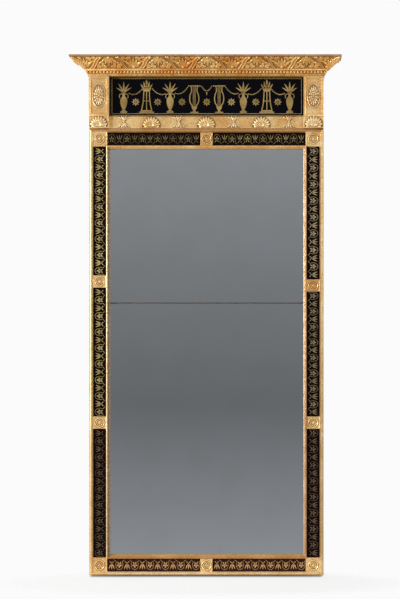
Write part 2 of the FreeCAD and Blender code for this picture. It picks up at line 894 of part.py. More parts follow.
def palmette(name, x, z):
    """Two palmettes foot to foot, each with a middle leaf and two side leaves."""
    body = new_body(name)
    wide, tall = s.palmette_width / 2, s.palmette_height / 2
    right_up = [(s.palmette_waist / 2, 0)] + [(wide * u, tall * v) for u, v in palmette_shares]
    left_up = [(-u, v) for u, v in reversed(right_up)]
    upper = right_up + left_up
    lower = [(u, -Size.of(v)) for u, v in reversed(upper[1:-1])]
    pad(body, draw(body, "XZ_Plane", f"{name}_outline", upper + lower), s.palmette_rise)
    return place(body, x, band_front, z)


band_middle = border_top + s.band_height / 2
palmettes = [palmette(f"palmette_{i}", shell_pitch * (i - 1.5), band_middle) for i in range(4)]
keep("band_palmettes", group("band_palmettes", palmettes))


# Bead course and cornice. A profile is drawn as (projection from the end blocks, height).

keep(
    "cornice_beam",
    box("cornice_beam", (-half_width, half_width), (block_front, front), (frieze_top, carcass_top)))

bead_radius = s.bead_height / 2
bead_profile = [
    (0, frieze_top),
    (s.bed_rise, frieze_top),
    (s.bed_rise, bed_top),
    (s.bead_seat, bed_top, bead_radius, 1),
    (s.bead_seat + bead_radius, bed_top + bead_radius, bead_radius, 1),
    (s.bead_seat, bead_top),
    (s.fillet_rise, bead_top),
    (s.fillet_rise, fillet_top),
    (0, fillet_top),
]
hollow_sweep_share = 2.2  # radius of the cornice's hollow as a share of its chord
hollow_radius = (s.hollow_head - s.hollow_foot).hypot(s.hollow_height) * hollow_sweep_share
cornice_profile = [
    (0, fillet_top),
    (s.hollow_foot, fillet_top, hollow_radius, -1),
    (s.hollow_head, hollow_top),
    (s.crown_rise, hollow_top),
    (s.crown_rise, crown_top),
    (0, crown_top),
]


def cornice_front(name, profile, reach):
    """A cornice member across the front, mitred in plan at both ends."""
    body = new_body(name)
    turned = laid(profile, lambda p, z: (block_front - p, z))
    end = half_width + reach
    pad(body, draw(body, "YZ_Plane", f"{name}_profile", turned, -end), end * 2)
    for side, hand in ((-1, "left"), (1, "right")):
        corners = [
            (half_width * side, block_front),
            (end * side, block_front - reach),
            (end * side, block_front),
        ]
        pocket(body, draw(body, "XY_Plane", f"{name}_{hand}_mitre", corners))
    return body


def cornice_return(name, profile, reach, side):
    """A cornice member along one side, from the wall to its mitre with the front."""
    body = new_body(name)
    turned = laid(profile, lambda p, z: ((half_width + p) * side, z))
    pad(body, draw(body, "XZ_Plane", f"{name}_profile", turned), reach - block_front)
    tip = block_front - reach
    corners = [
        (half_width * side, block_front),
        ((half_width + reach) * side, tip),
        (half_width * side, tip),
    ]
    pocket(body, draw(body, "XY_Plane", f"{name}_mitre", corners))
    return body


bead_members = [
    cornice_front("bead_front", bead_profile, s.fillet_rise),
    cornice_return("bead_return_left", bead_profile, s.fillet_rise, -1),
    cornice_return("bead_return_right", bead_profile, s.fillet_rise, 1),
]
keep("bead_course", group("bead_course", bead_members))
keep("cornice_front", cornice_front("cornice_front", cornice_profile, s.crown_rise))
keep("cornice_return_left", cornice_return("cornice_return_left", cornice_profile, s.crown_rise, -1))
keep("cornice_return_right", cornice_return("cornice_return_right", cornice_profile, s.crown_rise, 1))
keep("top_board", box("top_board", (-half_width, half_width), (block_front, 0), (carcass_top, crown_top)))


# Hanging hardware on the back of the architrave rail

bore_radius = s.ring_wire + s.ring_clear
knuckle_radius = bore_radius + s.knuckle_wall
CROSSWISE = ((0, 1, 0), 90)  # turns a tool that points up so that it points along X


def axle(name, x, radius, length):
    """A cylinder along the pivot line of a hanger, centred on x."""
    cylinder = doc.addObject("Part::Cylinder", name)
    bind(cylinder, Radius=radius, Height=length)
    return place(cylinder, x - length / 2, pivot_y, pivot_z, turn=CROSSWISE)


def hanger_plate(label, side):
    """A screwed strap whose top is rolled into a knuckle for the ring."""
    x = hanger_x * side
    half = s.strap_width / 2
    strap = box(
        f"{label}_strap",
        (x - half, x + half),
        (board_front, strap_back),
        (pivot_z - s.strap_length, pivot_z),
    )
    knuckle = axle(f"{label}_knuckle", x, knuckle_radius, s.strap_width)
    body = fuse(f"{label}_body", [strap, knuckle])
    bore = axle(f"{label}_bore", x, bore_radius, s.strap_width + s.overrun)
    return keep(label, cut(label, body, [bore, hanger_screws]))


def bend(name, x, z, radius, turn, angle):
    """Part of a round bar bent about an axis along Y."""
    torus = doc.addObject("Part::Torus", name)
    bind(torus, Radius1=radius, Radius2=s.ring_wire)
    torus.Angle3 = angle
    torus.Placement = FreeCAD.Placement(
        FreeCAD.Vector(),
        FreeCAD.Rotation(FreeCAD.Vector(0, 1, 0), turn) * FreeCAD.Rotation(FreeCAD.Vector(1, 0, 0), 90))
    bind(torus, Placement__Base__x=x, Placement__Base__y=pivot_y, Placement__Base__z=z)
    return torus


def hanging_ring(label, side):
    """A D-shaped ring: a straight bar in the knuckle, two tight corners and a half circle below."""
    x = hanger_x * side
    straight = s.ring_radius - s.ring_corner
    z = pivot_z - s.ring_corner
    bar = axle(f"{label}_bar", x, s.ring_wire, straight * 2)
    right = bend(f"{label}_right", x + straight, z, s.ring_corner, 0, 90)
    left = bend(f"{label}_left", x - straight, z, s.ring_corner, -90, 90)
    bow = bend(f"{label}_bow", x, z, s.ring_radius, 180, 180)
    return keep(label, fuse(label, [bar, right, bow, left]))


hanger_plate("hanger_plate_left", -1)
hanger_plate("hanger_plate_right", 1)
hanging_ring("hanging_ring_left", -1)
hanging_ring("hanging_ring_right", 1)

doc.recompute()

for thing in doc.Objects:
    if "Invalid" in thing.State or "Error" in thing.State:
        raise RuntimeError(f"{thing.Label} failed: {thing.State}")
    if thing.TypeId == "PartDesign::Pocket" and thing.Shape.Volume >= thing.BaseFeature.Shape.Volume:
        raise RuntimeError(f"{thing.Label} takes nothing away")
os.makedirs("parts", exist_ok=True)
for part in built:
    if part.Shape.isNull() or not part.Shape.isValid():
        raise RuntimeError(f"{part.Label} has no valid shape")
for part in built:
    part.Shape.exportStep(f"parts/{part.Label}.step")
    bounds = part.Shape.BoundBox
    print(f"{part.Label}: {len(part.Shape.Solids)} solids, {part.Shape.Volume:.1f} mm3, "
          f"{bounds.XLength:.1f} x {bounds.YLength:.1f} x {bounds.ZLength:.1f}")
print(f"{len(built)} sub-parts")
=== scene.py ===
# %% [markdown]
# # A gilt-wood pier mirror
# A tall wall mirror in a black and gold glass border, with a glass frieze and a carved cornice over it.
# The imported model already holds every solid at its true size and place, so this lesson only adds what a
# carver, a gilder and a glass painter did to it. Everything is in metres. X runs to the right, the front
# faces -Y, Z is up, the wall is the plane y = 0 and z = 0 is the joint between the two mirror plates.

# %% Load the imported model
import math

import bmesh
import bpy
import numpy as np
from mathutils import Matrix, Vector


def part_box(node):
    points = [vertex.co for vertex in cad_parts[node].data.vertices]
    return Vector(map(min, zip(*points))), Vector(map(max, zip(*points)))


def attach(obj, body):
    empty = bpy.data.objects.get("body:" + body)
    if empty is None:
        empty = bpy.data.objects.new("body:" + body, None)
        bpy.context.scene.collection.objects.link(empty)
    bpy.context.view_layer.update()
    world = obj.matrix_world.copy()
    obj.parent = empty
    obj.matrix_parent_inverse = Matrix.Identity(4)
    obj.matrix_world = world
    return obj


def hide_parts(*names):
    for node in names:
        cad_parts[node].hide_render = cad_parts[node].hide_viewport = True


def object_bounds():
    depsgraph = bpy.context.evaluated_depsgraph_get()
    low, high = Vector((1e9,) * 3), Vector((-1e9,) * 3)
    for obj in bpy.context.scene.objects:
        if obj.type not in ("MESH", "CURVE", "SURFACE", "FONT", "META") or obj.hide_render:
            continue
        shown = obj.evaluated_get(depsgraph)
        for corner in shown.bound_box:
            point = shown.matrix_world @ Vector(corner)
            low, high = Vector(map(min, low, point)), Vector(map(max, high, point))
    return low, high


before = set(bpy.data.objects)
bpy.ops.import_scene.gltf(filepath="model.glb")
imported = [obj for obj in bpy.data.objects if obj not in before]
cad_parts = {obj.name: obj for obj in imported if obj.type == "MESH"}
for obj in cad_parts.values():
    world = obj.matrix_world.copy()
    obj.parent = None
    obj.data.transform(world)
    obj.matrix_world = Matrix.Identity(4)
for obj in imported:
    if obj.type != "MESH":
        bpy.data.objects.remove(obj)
cad_low, cad_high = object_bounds()
MM = 0.001

# %% [markdown]
# ## Camera
# The photograph was taken from far away and level with the middle of the frame, because the upright edges
# run parallel and the cornice is seen only a little from below. The cornice reaches further to the left than
# to the right of the stiles, so the camera stood right of the middle and the lens was shifted back to it.

# %% Camera
IMAGE_SIZE = (400, 599)
CAMERA_DISTANCE = 6.0
CAMERA_HEIGHT = 0.014
CAMERA_SIDE = 0.3
PIXEL = 0.0038  # size of a picture element at the front of the frame
RIGHT_OF_MIDDLE = 6.5  # pixels

camera_data = bpy.data.cameras.new("camera")
camera_data.lens = 94.3
camera_data.sensor_width = 36.0
camera_data.shift_x = -(RIGHT_OF_MIDDLE + CAMERA_SIDE / PIXEL) / IMAGE_SIZE[1]
camera = bpy.data.objects.new("camera", camera_data)
camera.location = (CAMERA_SIDE, -CAMERA_DISTANCE, CAMERA_HEIGHT)
camera.rotation_euler = (math.pi / 2, 0, 0)
bpy.context.scene.collection.objects.link(camera)
bpy.context.scene.camera = camera
bpy.context.scene.view_settings.view_transform = "Standard"
print("camera at", tuple(camera.location), "lens", camera_data.lens)

# %% [markdown]
# ## Writing node trees as sums
# A finish is a tree of nodes. Placing every node by hand takes many lines, so a small class stands for one
# output of a node. Adding or multiplying two of them adds a Math node, and one method adds any other node.

# %% Node helpers
class Value:
    """One output in a node tree. Arithmetic on it adds Math nodes."""

    def __init__(self, nodes, socket):
        self.nodes = nodes
        self.socket = socket

    def math(self, operation, *terms):
        return self.nodes.add("Math", dict(enumerate(terms)), operation=operation)

    def __add__(self, other):
        return self.math("ADD", self, other)

    def __sub__(self, other):
        return self.math("SUBTRACT", self, other)

    def __rsub__(self, other):
        return self.math("SUBTRACT", other, self)

    def __mul__(self, other):
        return self.math("MULTIPLY", self, other)

    def __pow__(self, other):
        return self.math("POWER", self, other)

    def __abs__(self):
        return self.math("ABSOLUTE", self)

    __radd__ = __add__
    __rmul__ = __mul__


class Nodes:
    """A node tree with a short way to add nodes to it."""

    def __init__(self, tree):
        self.tree = tree
        tree.nodes.clear()

    def add(self, kind, sockets=None, give=0, **settings):
        """Add a node, set its settings, then its sockets, and return one of its outputs."""
        node = self.tree.nodes.new("ShaderNode" + kind)
        stops = settings.pop("stops", ())
        for name, setting in settings.items():
            setattr(node, name, setting)
        for i, (place, colour) in enumerate(stops):
            ramp = node.color_ramp.elements
            stop = ramp[i] if i < len(ramp) else ramp.new(place)
            stop.position = place
            stop.color = colour
        for name, item in (sockets or {}).items():
            if isinstance(item, Value):
                self.tree.links.new(item.socket, node.inputs[name])
            else:
                node.inputs[name].default_value = item
        return Value(self, node.outputs[give])

    def mix(self, share, first, second):
        """A colour between two colours."""
        return self.add("Mix", {0: share, 6: first, 7: second}, give=2, data_type="RGBA")

    def step(self, value, low, high):
        """A soft step from 0 at low to 1 at high."""
        return self.add("MapRange", {0: value, 1: low, 2: high}, interpolation_type="SMOOTHSTEP")

    def axis(self, where, index):
        """One of the three numbers of a coordinate."""
        return self.add("SeparateXYZ", {0: where}, give=index)

    def rays(self, *kinds):
        """1 for rays of these kinds, such as Camera or Glossy, and 0 for all others."""
        found = [self.add("LightPath", give=f"Is {kind} Ray") for kind in kinds]
        return sum(found[1:], found[0])

    def noise(self, where, scale, detail=2.0, rough=0.5):
        """A cloudy pattern; a larger scale gives smaller clouds."""
        sockets = {"Vector": where, "Scale": scale, "Detail": detail, "Roughness": rough}
        return self.add("TexNoise", sockets)

    def stretch(self, where, scale):
        """Coordinates stretched by a scale on each axis."""
        return self.add("Mapping", {"Vector": where, "Scale": scale})

    def bump(self, strength, distance, height):
        """A normal that makes a surface look uneven."""
        return self.add("Bump", {"Strength": strength, "Distance": distance, "Height": height})


def tint(code):
    """A colour from its screen code, as the linear numbers that a shader takes."""
    parts = [int(code[i:i + 2], 16) / 255 for i in (1, 3, 5)]
    return tuple(c / 12.92 if c < 0.04045 else ((c + 0.055) / 1.055) ** 2.4 for c in parts) + (1.0,)


def grey(level):
    """An even grey of a given brightness."""
    return (level, level, level, 1.0)


print("node helpers ready")

# %% [markdown]
# ## Studio
# The room behind the camera is what the mirror plates show, so it is a soft grey that darkens a little below
# eye level. Towards the wall and overhead the studio is bright, more on the left than on the right, which
# gives every moulding a light and a dark side. The camera itself always sees plain white, and so does gold or
# glass that reflects what lies behind the frame.

# %% World
ROOM = [  # from the floor of the room up to its ceiling
    (0.0, grey(0.5)), (0.40, (0.37, 0.37, 0.38, 1)), (0.467, (0.152, 0.155, 0.159, 1)),
    (0.51, (0.222, 0.225, 0.229, 1)), (0.55, (0.30, 0.303, 0.307, 1)), (0.68, grey(0.75)), (1.0, grey(1.0))]
LEFT_LIGHT, RIGHT_LIGHT = 1.05, 0.2
BACKDROP = 0.965

world = bpy.data.worlds.new("studio")
bpy.context.scene.world = world
world.use_nodes = True
sky = Nodes(world.node_tree)
direction = sky.add("TexCoord", give="Generated")
sideways, forward, upward = (sky.axis(direction, i) for i in range(3))
room = sky.add("ValToRGB", {0: upward * 0.5 + 0.5}, stops=ROOM)
sides = sky.mix(sky.step(sideways, -0.5, 0.5), grey(LEFT_LIGHT), grey(RIGHT_LIGHT))
studio_light = sky.mix(sky.step(forward, -0.8, 0.2), room, sides)
behind = sky.step(forward, 0.0, 0.3)
seen = sky.rays("Camera") + sky.rays("Glossy", "Transmission") * behind
shown = sky.mix(seen, studio_light, grey(BACKDROP))
backdrop = sky.add("Background", {"Color": shown, "Strength": 1.0})
world_output = world.node_tree.nodes.new("ShaderNodeOutputWorld")
world.node_tree.links.new(backdrop.socket, world_output.inputs["Surface"])
print("world ready")

# %% [markdown]
# Two large soft lamps stand for the photographer's: the stronger one on the left, the weaker on the
# right. Both stay out of the window that the plates reflect.

# %% Lamps
MIDDLE = Vector((0, 0, 0.1))


def soft_lamp(name, place, size, power):
    """A round lamp that points at the middle of the frame."""
    lamp_data = bpy.data.lights.new(name, "AREA")
    lamp_data.shape = "DISK"
    lamp_data.size = size
    lamp_data.energy = power
    lamp = bpy.data.objects.new(name, lamp_data)
    lamp.location = place
    lamp.rotation_euler = (MIDDLE - Vector(place)).to_track_quat("-Z", "Y").to_euler()
    bpy.context.scene.collection.objects.link(lamp)


soft_lamp("key_lamp", (-4.2, -4.0, 0.3), 1.6, 195)
soft_lamp("fill_lamp", (3.4, -4.6, 0.9), 2.4, 80)
print("two lamps")

# %% [markdown]
# ## Gilding
# Water gilding is gold leaf over red clay and white gesso. It is not one colour: the leaf is paler where it
# lies double, and the clay shows through where hands and dusters rubbed it. Four noise patterns at four sizes
# give that. Carved pieces carry two attributes: `hollow` darkens the hollows with dirt and painted shade,
# and `crest` lightens the ridges with a painted highlight; on a plain piece both are zero. The frame was
# regilded in parts, so there are eight tones of it, from the pale shells to the brown cornice. Some of them
# are painted light: the left sight moulding is paler and the right one darker, and the cornice's deeper
# tone is partly painted shade.

# %% Gilding
# The left sight moulding is darkened along the plates as painted shade.
SIGHT_SHADE = 0.3785  # how far from the middle the brown edge along the plates reaches


def finish(name):
    """A new material, its nodes and its surface coordinates."""
    material = bpy.data.materials.new(name)
    material.use_nodes = True
    nodes = Nodes(material.node_tree)
    return material, nodes, nodes.add("TexCoord", give="Object")


def surface(material, nodes, **sockets):
    """Close a material with one Principled shader."""
    shader = nodes.add("BsdfPrincipled", {k.replace("_", " "): v for k, v in sockets.items()})
    output = nodes.tree.nodes.new("ShaderNodeOutputMaterial")
    nodes.tree.links.new(shader.socket, output.inputs["Surface"])
    return material


def gilding(name, leaf, pale, clay, shade_and_soil, metal=0.66, sight_shade=0.0):
    """Gilding in one tone. Its last argument is how much painted shade darkens it along the plates, within
    the distance set above from the middle.
    """
    material, nodes, where = finish(name)
    cloud = nodes.noise(where, 14.0, 3.0)
    patch = nodes.noise(where, 90.0, 5.0, 0.62)
    fleck = nodes.noise(where, 190.0, 3.0, 0.6)
    grain = nodes.noise(where, 650.0, 3.0, 0.6)
    hollow = nodes.add("Attribute", give="Fac", attribute_name="hollow")
    crest = nodes.add("Attribute", give="Fac", attribute_name="crest")
    # `crest` pulls the ridges towards the pale tone: a painted highlight.
    colour = nodes.mix(nodes.step(cloud + crest * 0.5, 0.35, 0.75), tint(leaf), tint(pale))
    rubbed = nodes.step(patch + crest * 0.06 + (grain - 0.5) * 0.25, 0.6, 0.74)
    colour = nodes.mix(rubbed * 0.6, colour, tint(clay))
    colour = nodes.mix(nodes.step(fleck, 0.5, 0.72) * 0.6, colour, tint(clay))
    colour = nodes.mix(nodes.step(fleck, 0.48, 0.3) * 0.5, colour, tint(pale))
    if sight_shade:
        across = nodes.axis(where, 0)
        # Painted shade along the plates, added to `hollow`.
        hollow = hollow + nodes.step(abs(across), SIGHT_SHADE, SIGHT_SHADE - 0.003) * sight_shade
    # `hollow` darkens towards the last tone: dirt and painted shade in the hollows.
    shaded_and_soiled = nodes.step(hollow + (patch - 0.5) * 0.5, 0.15, 0.9)
    colour = nodes.mix(shaded_and_soiled * 0.85, colour, tint(shade_and_soil))
    return surface(
        material, nodes, Base_Color=colour, Metallic=metal * (1 - rubbed * 0.5) * (1 - shaded_and_soiled * 0.6),
        Roughness=0.27 + patch * 0.2 + shaded_and_soiled * 0.25,
        Normal=nodes.bump(0.25, 0.0006, patch * 0.7 + grain * 0.5))


gilt = gilding("water_gilding", "#d2ad75", "#e6c896", "#b0703f", "#5c3a14")
warm_gilt = gilding("warm_gilding", "#dfab64", "#fbdb9c", "#b4703a", "#5a3410")
# The left sight moulding is paler, as painted light, and the right one darker, as painted shade.
pale_gilt = gilding("pale_gilding", "#e4c796", "#f8e6c2", "#b88a58", "#5c3a14", sight_shade=0.75)
foot_gilt = gilding("foot_gilding", "#efc080", "#ffe4b2", "#b8844c", "#5a3812", 0.55)
right_sight_gilt = gilding("right_sight_gilding", "#c69a6c", "#dfba92", "#a46c44", "#4a2a10")
worn_gilt = gilding("worn_gilding", "#bb884e", "#cf9f66", "#9a5c30", "#4a2a10")
bright_gilt = gilding("bright_gilding", "#d8ac6a", "#f4d49c", "#b47c46", "#5a3210", 0.55)
# The cornice's deeper tone is partly painted shade.
deep_gilt = gilding("cornice_gilding", "#e89c40", "#ffd688", "#b46c28", "#70400f", 0.7)
print("gilding ready")

# %% [markdown]
# ## Glass
# The border strips and the frieze are painted black behind the glass, so they are deep, glossy and almost
# even: blue-black in the frieze, where the blue is a painted sheen, and with a breath of brown in the border,
# most of all along the bottom. The design in front of the black is dull gold leaf, golden in the frieze,
# greyer in the border, half lost low on the stiles and coppery along the bottom. Both could be several
# materials. One each is enough, because the height and the side of a point say which of these places it is
# in.

# %% Black glass
# Heights, and distances to the right, between which one place goes over into the next
UNDER_FRIEZE, UNDER_ARCHITRAVE, TOP_STRIPS = (0.70, 0.66), (0.66, 0.65), (0.585, 0.605)
MIDDLE_STRIPS, LOW_STRIPS, FOOT_STRIPS = (0.08, 0.02), (-0.36, -0.50), (-0.955, -0.975)
LEFT_HALF, RIGHT_STILE = (0.02, -0.02), (0.37, 0.40)

material, nodes, where = finish("black_glass")
level = nodes.axis(where, 2)
haze = nodes.noise(where, 25.0, 4.0)
ripple = nodes.noise(where, 45.0, 1.0)
border = nodes.step(level, *UNDER_FRIEZE)
# The frieze's black is tinted blue as a painted sheen; the border's is brown.
paint = nodes.mix(border, tint("#05050a"), tint("#120603"))
paint = nodes.mix(nodes.step(level, *FOOT_STRIPS), paint, tint("#2c1005"))
paint = nodes.mix(nodes.step(haze, 0.4, 0.75) * border * 0.4, paint, tint("#1a0d06"))
black_glass = surface(
    material, nodes, Base_Color=paint, Roughness=0.07 + haze * 0.08, Specular_IOR_Level=0.09,
    Normal=nodes.bump(0.05, 0.002, ripple))
print("black glass ready")

# %% Gold leaf
material, nodes, where = finish("gold_leaf")
side, level = nodes.axis(where, 0), nodes.axis(where, 2)
cloud = nodes.noise(where, 22.0, 3.0)
lost = nodes.step(nodes.noise(where, 420.0, 4.0, 0.6), 0.56, 0.68)
foot = nodes.step(level, *FOOT_STRIPS)
low = nodes.step(level, *LOW_STRIPS) * (1 - foot)
top = nodes.step(level, *TOP_STRIPS) * nodes.step(level, *UNDER_ARCHITRAVE)
left_half = nodes.step(side, *LEFT_HALF)
right_stile = nodes.step(side, *RIGHT_STILE)
below = nodes.step(level, *MIDDLE_STRIPS)
dull = low * (0.45 + left_half * 0.17) + top * (0.30 + left_half * 0.26)
dull = dull + right_stile * (1 - low) * (0.18 + below * 0.28)
leaf_colour = nodes.mix(nodes.step(cloud, 0.3, 0.7), tint("#8e7438"), tint("#b89a5c"))
border_colour = nodes.mix(nodes.step(cloud, 0.3, 0.7), tint("#9c8954"), tint("#ccb87c"))
border_colour = nodes.mix(right_stile * 0.45, border_colour, tint("#b0a48e"))
border_colour = nodes.mix(low * 0.6, border_colour, tint("#a07c66"))
leaf_colour = nodes.mix(nodes.step(level, *UNDER_FRIEZE), leaf_colour, border_colour)
leaf_colour = nodes.mix(foot * 0.75, leaf_colour, tint("#cb9456"))
gold_leaf = surface(
    material, nodes, Base_Color=nodes.mix(lost * 0.5 + dull, leaf_colour, tint("#241a10")),
    Metallic=0.45 - lost * 0.4, Roughness=0.34 + cloud * 0.15, Coat_Weight=0.4)
print("gold leaf ready")

# %% [markdown]
# ## Mirror plates
# An old plate is tin and mercury on glass: a slightly grey, slightly blue reflection that is a little cloudy
# towards its edges, where damp has eaten the tin away.

# %% Silvering
PLATE_EDGE, JOINT_SHADE = (0.34, 0.372), (0.004, 0.0008)  # where the edge begins and the joint's shade ends

material, nodes, where = finish("silvering")
across, height = nodes.axis(where, 0), nodes.axis(where, 2)
edge = nodes.step(abs(across), *PLATE_EDGE)
joint = nodes.step(abs(height), *JOINT_SHADE)
spots = nodes.step(nodes.noise(where, 160.0, 5.0, 0.65) + edge * 0.06, 0.66, 0.74)
cloudy = nodes.noise(where, 7.0, 4.0)
silver = nodes.mix(nodes.step(cloudy, 0.35, 0.7), tint("#e8edf1"), tint("#e5eaed"))
silver = nodes.mix(spots * 0.2 + joint * 0.75, silver, tint("#464a4e"))
silvering = surface(
    material, nodes, Base_Color=silver, Metallic=1.0, Roughness=0.03 + edge * cloudy * 0.06 + spots * 0.1)
print("silvering ready")

# %% [markdown]
# ## Wood and iron
# The carcass is pine. Behind it is bare and brown with age; where it shows at the sides it has a coat of
# yellow ochre, the cheap cousin of gilding. The fittings are forged iron.

# %% Pine
BOARD_WIDTH = 0.1524  # of the planks in the backboards


def pine(name, long, light="#c2954f", dark="#a67a3c"):
    """Aged pine with its grain along one axis, ochre except on its back. Every board has its own tone."""
    material, nodes, where = finish(name)
    rings = nodes.noise(nodes.stretch(where, [1.2 if i == long else 34.0 for i in range(3)]), 1.0, 3.0, 0.55)
    fibre = nodes.noise(nodes.stretch(where, [9.0 if i == long else 420.0 for i in range(3)]), 1.0, 3.0, 0.6)
    board = nodes.axis(where, 2 - long) * (1 / BOARD_WIDTH) + 0.5
    board = board.math("FLOOR", board)
    tone = nodes.add("TexWhiteNoise", {"W": board}, noise_dimensions="1D")
    grain = nodes.step(rings * 0.75 + fibre * 0.3 + tone * 0.22, 0.42, 0.88)
    bare = nodes.mix(grain, tint("#946c40"), tint("#62431f"))
    dust = nodes.noise(where, 30.0, 5.0, 0.6)
    bare = nodes.mix(nodes.step(dust, 0.5, 0.8) * 0.5, bare, tint("#3f2c1a"))
    ochre = nodes.mix(nodes.step(dust, 0.35, 0.7), tint(light), tint(dark))
    facing = nodes.axis(nodes.add("TexCoord", give="Normal"), 1)
    colour = nodes.mix(nodes.step(facing, 0.2, 0.6), ochre, bare)
    return surface(material, nodes, Base_Color=colour, Roughness=0.62 + dust * 0.25,
                   Normal=nodes.bump(0.3, 0.0006, fibre))


pine_upright = pine("pine_upright", 2)
pine_level = pine("pine_level", 0)
pine_hidden = pine("pine_hidden", 0, "#26262a", "#1a1a1c")
print("pine ready")

# %% Iron
material, nodes, where = finish("forged_iron")
scale = nodes.noise(where, 220.0, 5.0, 0.6)
rust = nodes.step(nodes.noise(where, 120.0, 4.0, 0.6), 0.52, 0.7)
iron = surface(
    material, nodes, Base_Color=nodes.mix(rust, tint("#3b3734"), tint("#5d3a25")),
    Metallic=0.85 - rust * 0.7, Roughness=0.42 + rust * 0.3,
    Normal=nodes.bump(0.4, 0.0004, scale))
print("iron ready")

# %% [markdown]
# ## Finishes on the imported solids
# The plain members keep their solids and only get a finish in their material slots.

# %% Dress the solids
FINISHES = {
    gilt: ["outer_moulding_left", "outer_moulding_right"],
    warm_gilt: ["sight_moulding_top"],
    # Paler left and darker right sight mouldings are painted light from the left.
    pale_gilt: ["sight_moulding_left"],
    right_sight_gilt: ["sight_moulding_right"],
    foot_gilt: ["outer_moulding_bottom"],
    worn_gilt: ["architrave_moulding", "sight_moulding_bottom"],
    black_glass: ["glass_", "frieze_glass"],
    silvering: ["mirror_plate"],
    pine_upright: ["left_stile", "right_stile", "backboard_lower", "backboard_upper"],
    pine_level: ["bottom_rail", "architrave_rail", "cornice_rail", "packing", "backboard_frieze",
                 "cornice_beam", "top_board"],
    pine_hidden: ["cross_rail"],
    iron: ["backboard_nails", "hanger_", "hanging_ring"],
}
for node_name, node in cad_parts.items():
    for look, starts in FINISHES.items():
        if node_name.startswith(tuple(starts)):
            node.data.materials.clear()
            node.data.materials.append(look)
print("dressed", sum(len(o.data.materials) > 0 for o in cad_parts.values()), "solids")

# %% [markdown]
# ## Tools of the bench
# Every new piece goes the same way: add a primitive, shape it in edit mode, apply modifiers, then hand it
# over. An operator works on whatever is selected, so each tool first selects only what it is for.

# %% Add and select
def choose(*pieces):
    """Leave edit mode and select only these pieces; the first is active."""
    if bpy.context.object and bpy.context.object.mode != "OBJECT":
        bpy.ops.object.mode_set(mode="OBJECT")
    bpy.ops.object.select_all(action="DESELECT")
    for piece in pieces:
        piece.select_set(True)
    bpy.context.view_layer.objects.active = pieces[0]
    return pieces[0]


def primitive(kind, **settings):
    """Add a mesh primitive with nothing else selected, and put its place into its mesh."""
    bpy.ops.object.select_all(action="DESELECT")
    scale = settings.pop("scale", (1, 1, 1))
    getattr(bpy.ops.mesh, f"primitive_{kind}_add")(**settings)
    piece = bpy.context.object
    piece.scale = scale
    bpy.ops.object.transform_apply(location=True, rotation=True, scale=True)
    return piece


def block(low, high):
    """A box between two corners."""
    low, high = Vector(low), Vector(high)
    return primitive("cube", size=1.0, location=(low + high) / 2, scale=high - low)


def ellipsoid(segments, rings, half_sizes, middle=(0, 0, 0)):
    """A sphere stretched to three half sizes, in millimetres."""
    piece = primitive("uv_sphere", segments=segments, ring_count=rings, radius=1.0,
                      scale=[size * MM for size in half_sizes])
    piece.data.transform(Matrix.Translation(Vector(middle) * MM))
    return piece


def copied(piece, matrix):
    """A copy with its own mesh, moved by a matrix."""
    twin = piece.copy()
    twin.data = piece.data.copy()
    twin.data.transform(matrix)
    bpy.context.scene.collection.objects.link(twin)
    return twin


def joined(name, pieces):
    """One piece out of several."""
    choose(*pieces)
    if len(pieces) > 1:
        bpy.ops.object.join()
    bpy.context.object.name = name
    return bpy.context.object


print("pieces can be added, copied and joined")

# %% Shape
def edit(piece):
    """Go into edit mode on one piece, to select faces."""
    choose(piece)
    bpy.ops.object.mode_set(mode="EDIT")
    bpy.ops.mesh.select_mode(type="FACE")


def edit_all(piece):
    """Go into edit mode with every face selected."""
    edit(piece)
    bpy.ops.mesh.select_all(action="SELECT")


def pick_faces(test):
    """Select the faces of the piece in edit mode whose middle and normal pass a test."""
    edited = bmesh.from_edit_mesh(bpy.context.object.data)
    for face in edited.faces:
        face.select_set(bool(test(face.calc_center_median(), face.normal)))
    bmesh.update_edit_mesh(bpy.context.object.data)


def insets(*steps):
    """Inset the selected face again and again; a step is (width, rise) in millimetres."""
    for width, rise in steps:
        bpy.ops.mesh.inset(thickness=width * MM, depth=rise * MM)


def modify(piece, kind, **settings):
    """Add a modifier and apply it."""
    choose(piece)
    modifier = piece.modifiers.new(kind.lower(), kind)
    for name, setting in settings.items():
        setattr(modifier, name, setting)
    bpy.ops.object.modifier_apply(modifier=modifier.name)
    return piece


def soften(piece, width, segments=2):
    """Round every sharp edge a little, as gesso does."""
    return modify(piece, "BEVEL", width=width * MM, segments=segments, limit_method="ANGLE", angle_limit=0.6)


def cleaned(piece):
    """Merge doubled points and turn all faces outwards."""
    edit_all(piece)
    bpy.ops.mesh.remove_doubles(threshold=1e-5)
    bpy.ops.mesh.normals_make_consistent(inside=False)
    bpy.ops.object.mode_set(mode="OBJECT")
    return piece


print("pieces can be shaped")

# %% [markdown]
# Handing over sets a piece's finish, shading and body, and hides the imported solid that it stands for.

# %% Hand over
GILT_WOOD = "gilt_wood"
SMOOTH_ANGLE = math.radians(38)


def hand_over(piece, look, slot, *nodes):
    """Give a finished piece its look, its shading and its body, and hide the solids it stands for; `slot` is
    not used.
    """
    choose(piece)
    bpy.ops.object.shade_smooth_by_angle(angle=SMOOTH_ANGLE)
    piece.data.materials.clear()
    piece.data.materials.append(look)
    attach(piece, "frame")
    if nodes:
        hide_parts(*nodes)
    return piece


print("pieces can be handed over")

# %% [markdown]
# ## Painted shade, painted highlight and dirt
# Old gilding is brown with dirt in its hollows; here the hollows are also darkened as painted shade, and the
# ridges are lightened as a painted highlight. A shader could look for them with every ray. Here the bend of
# the mesh is measured once, at every point, and written to the piece.

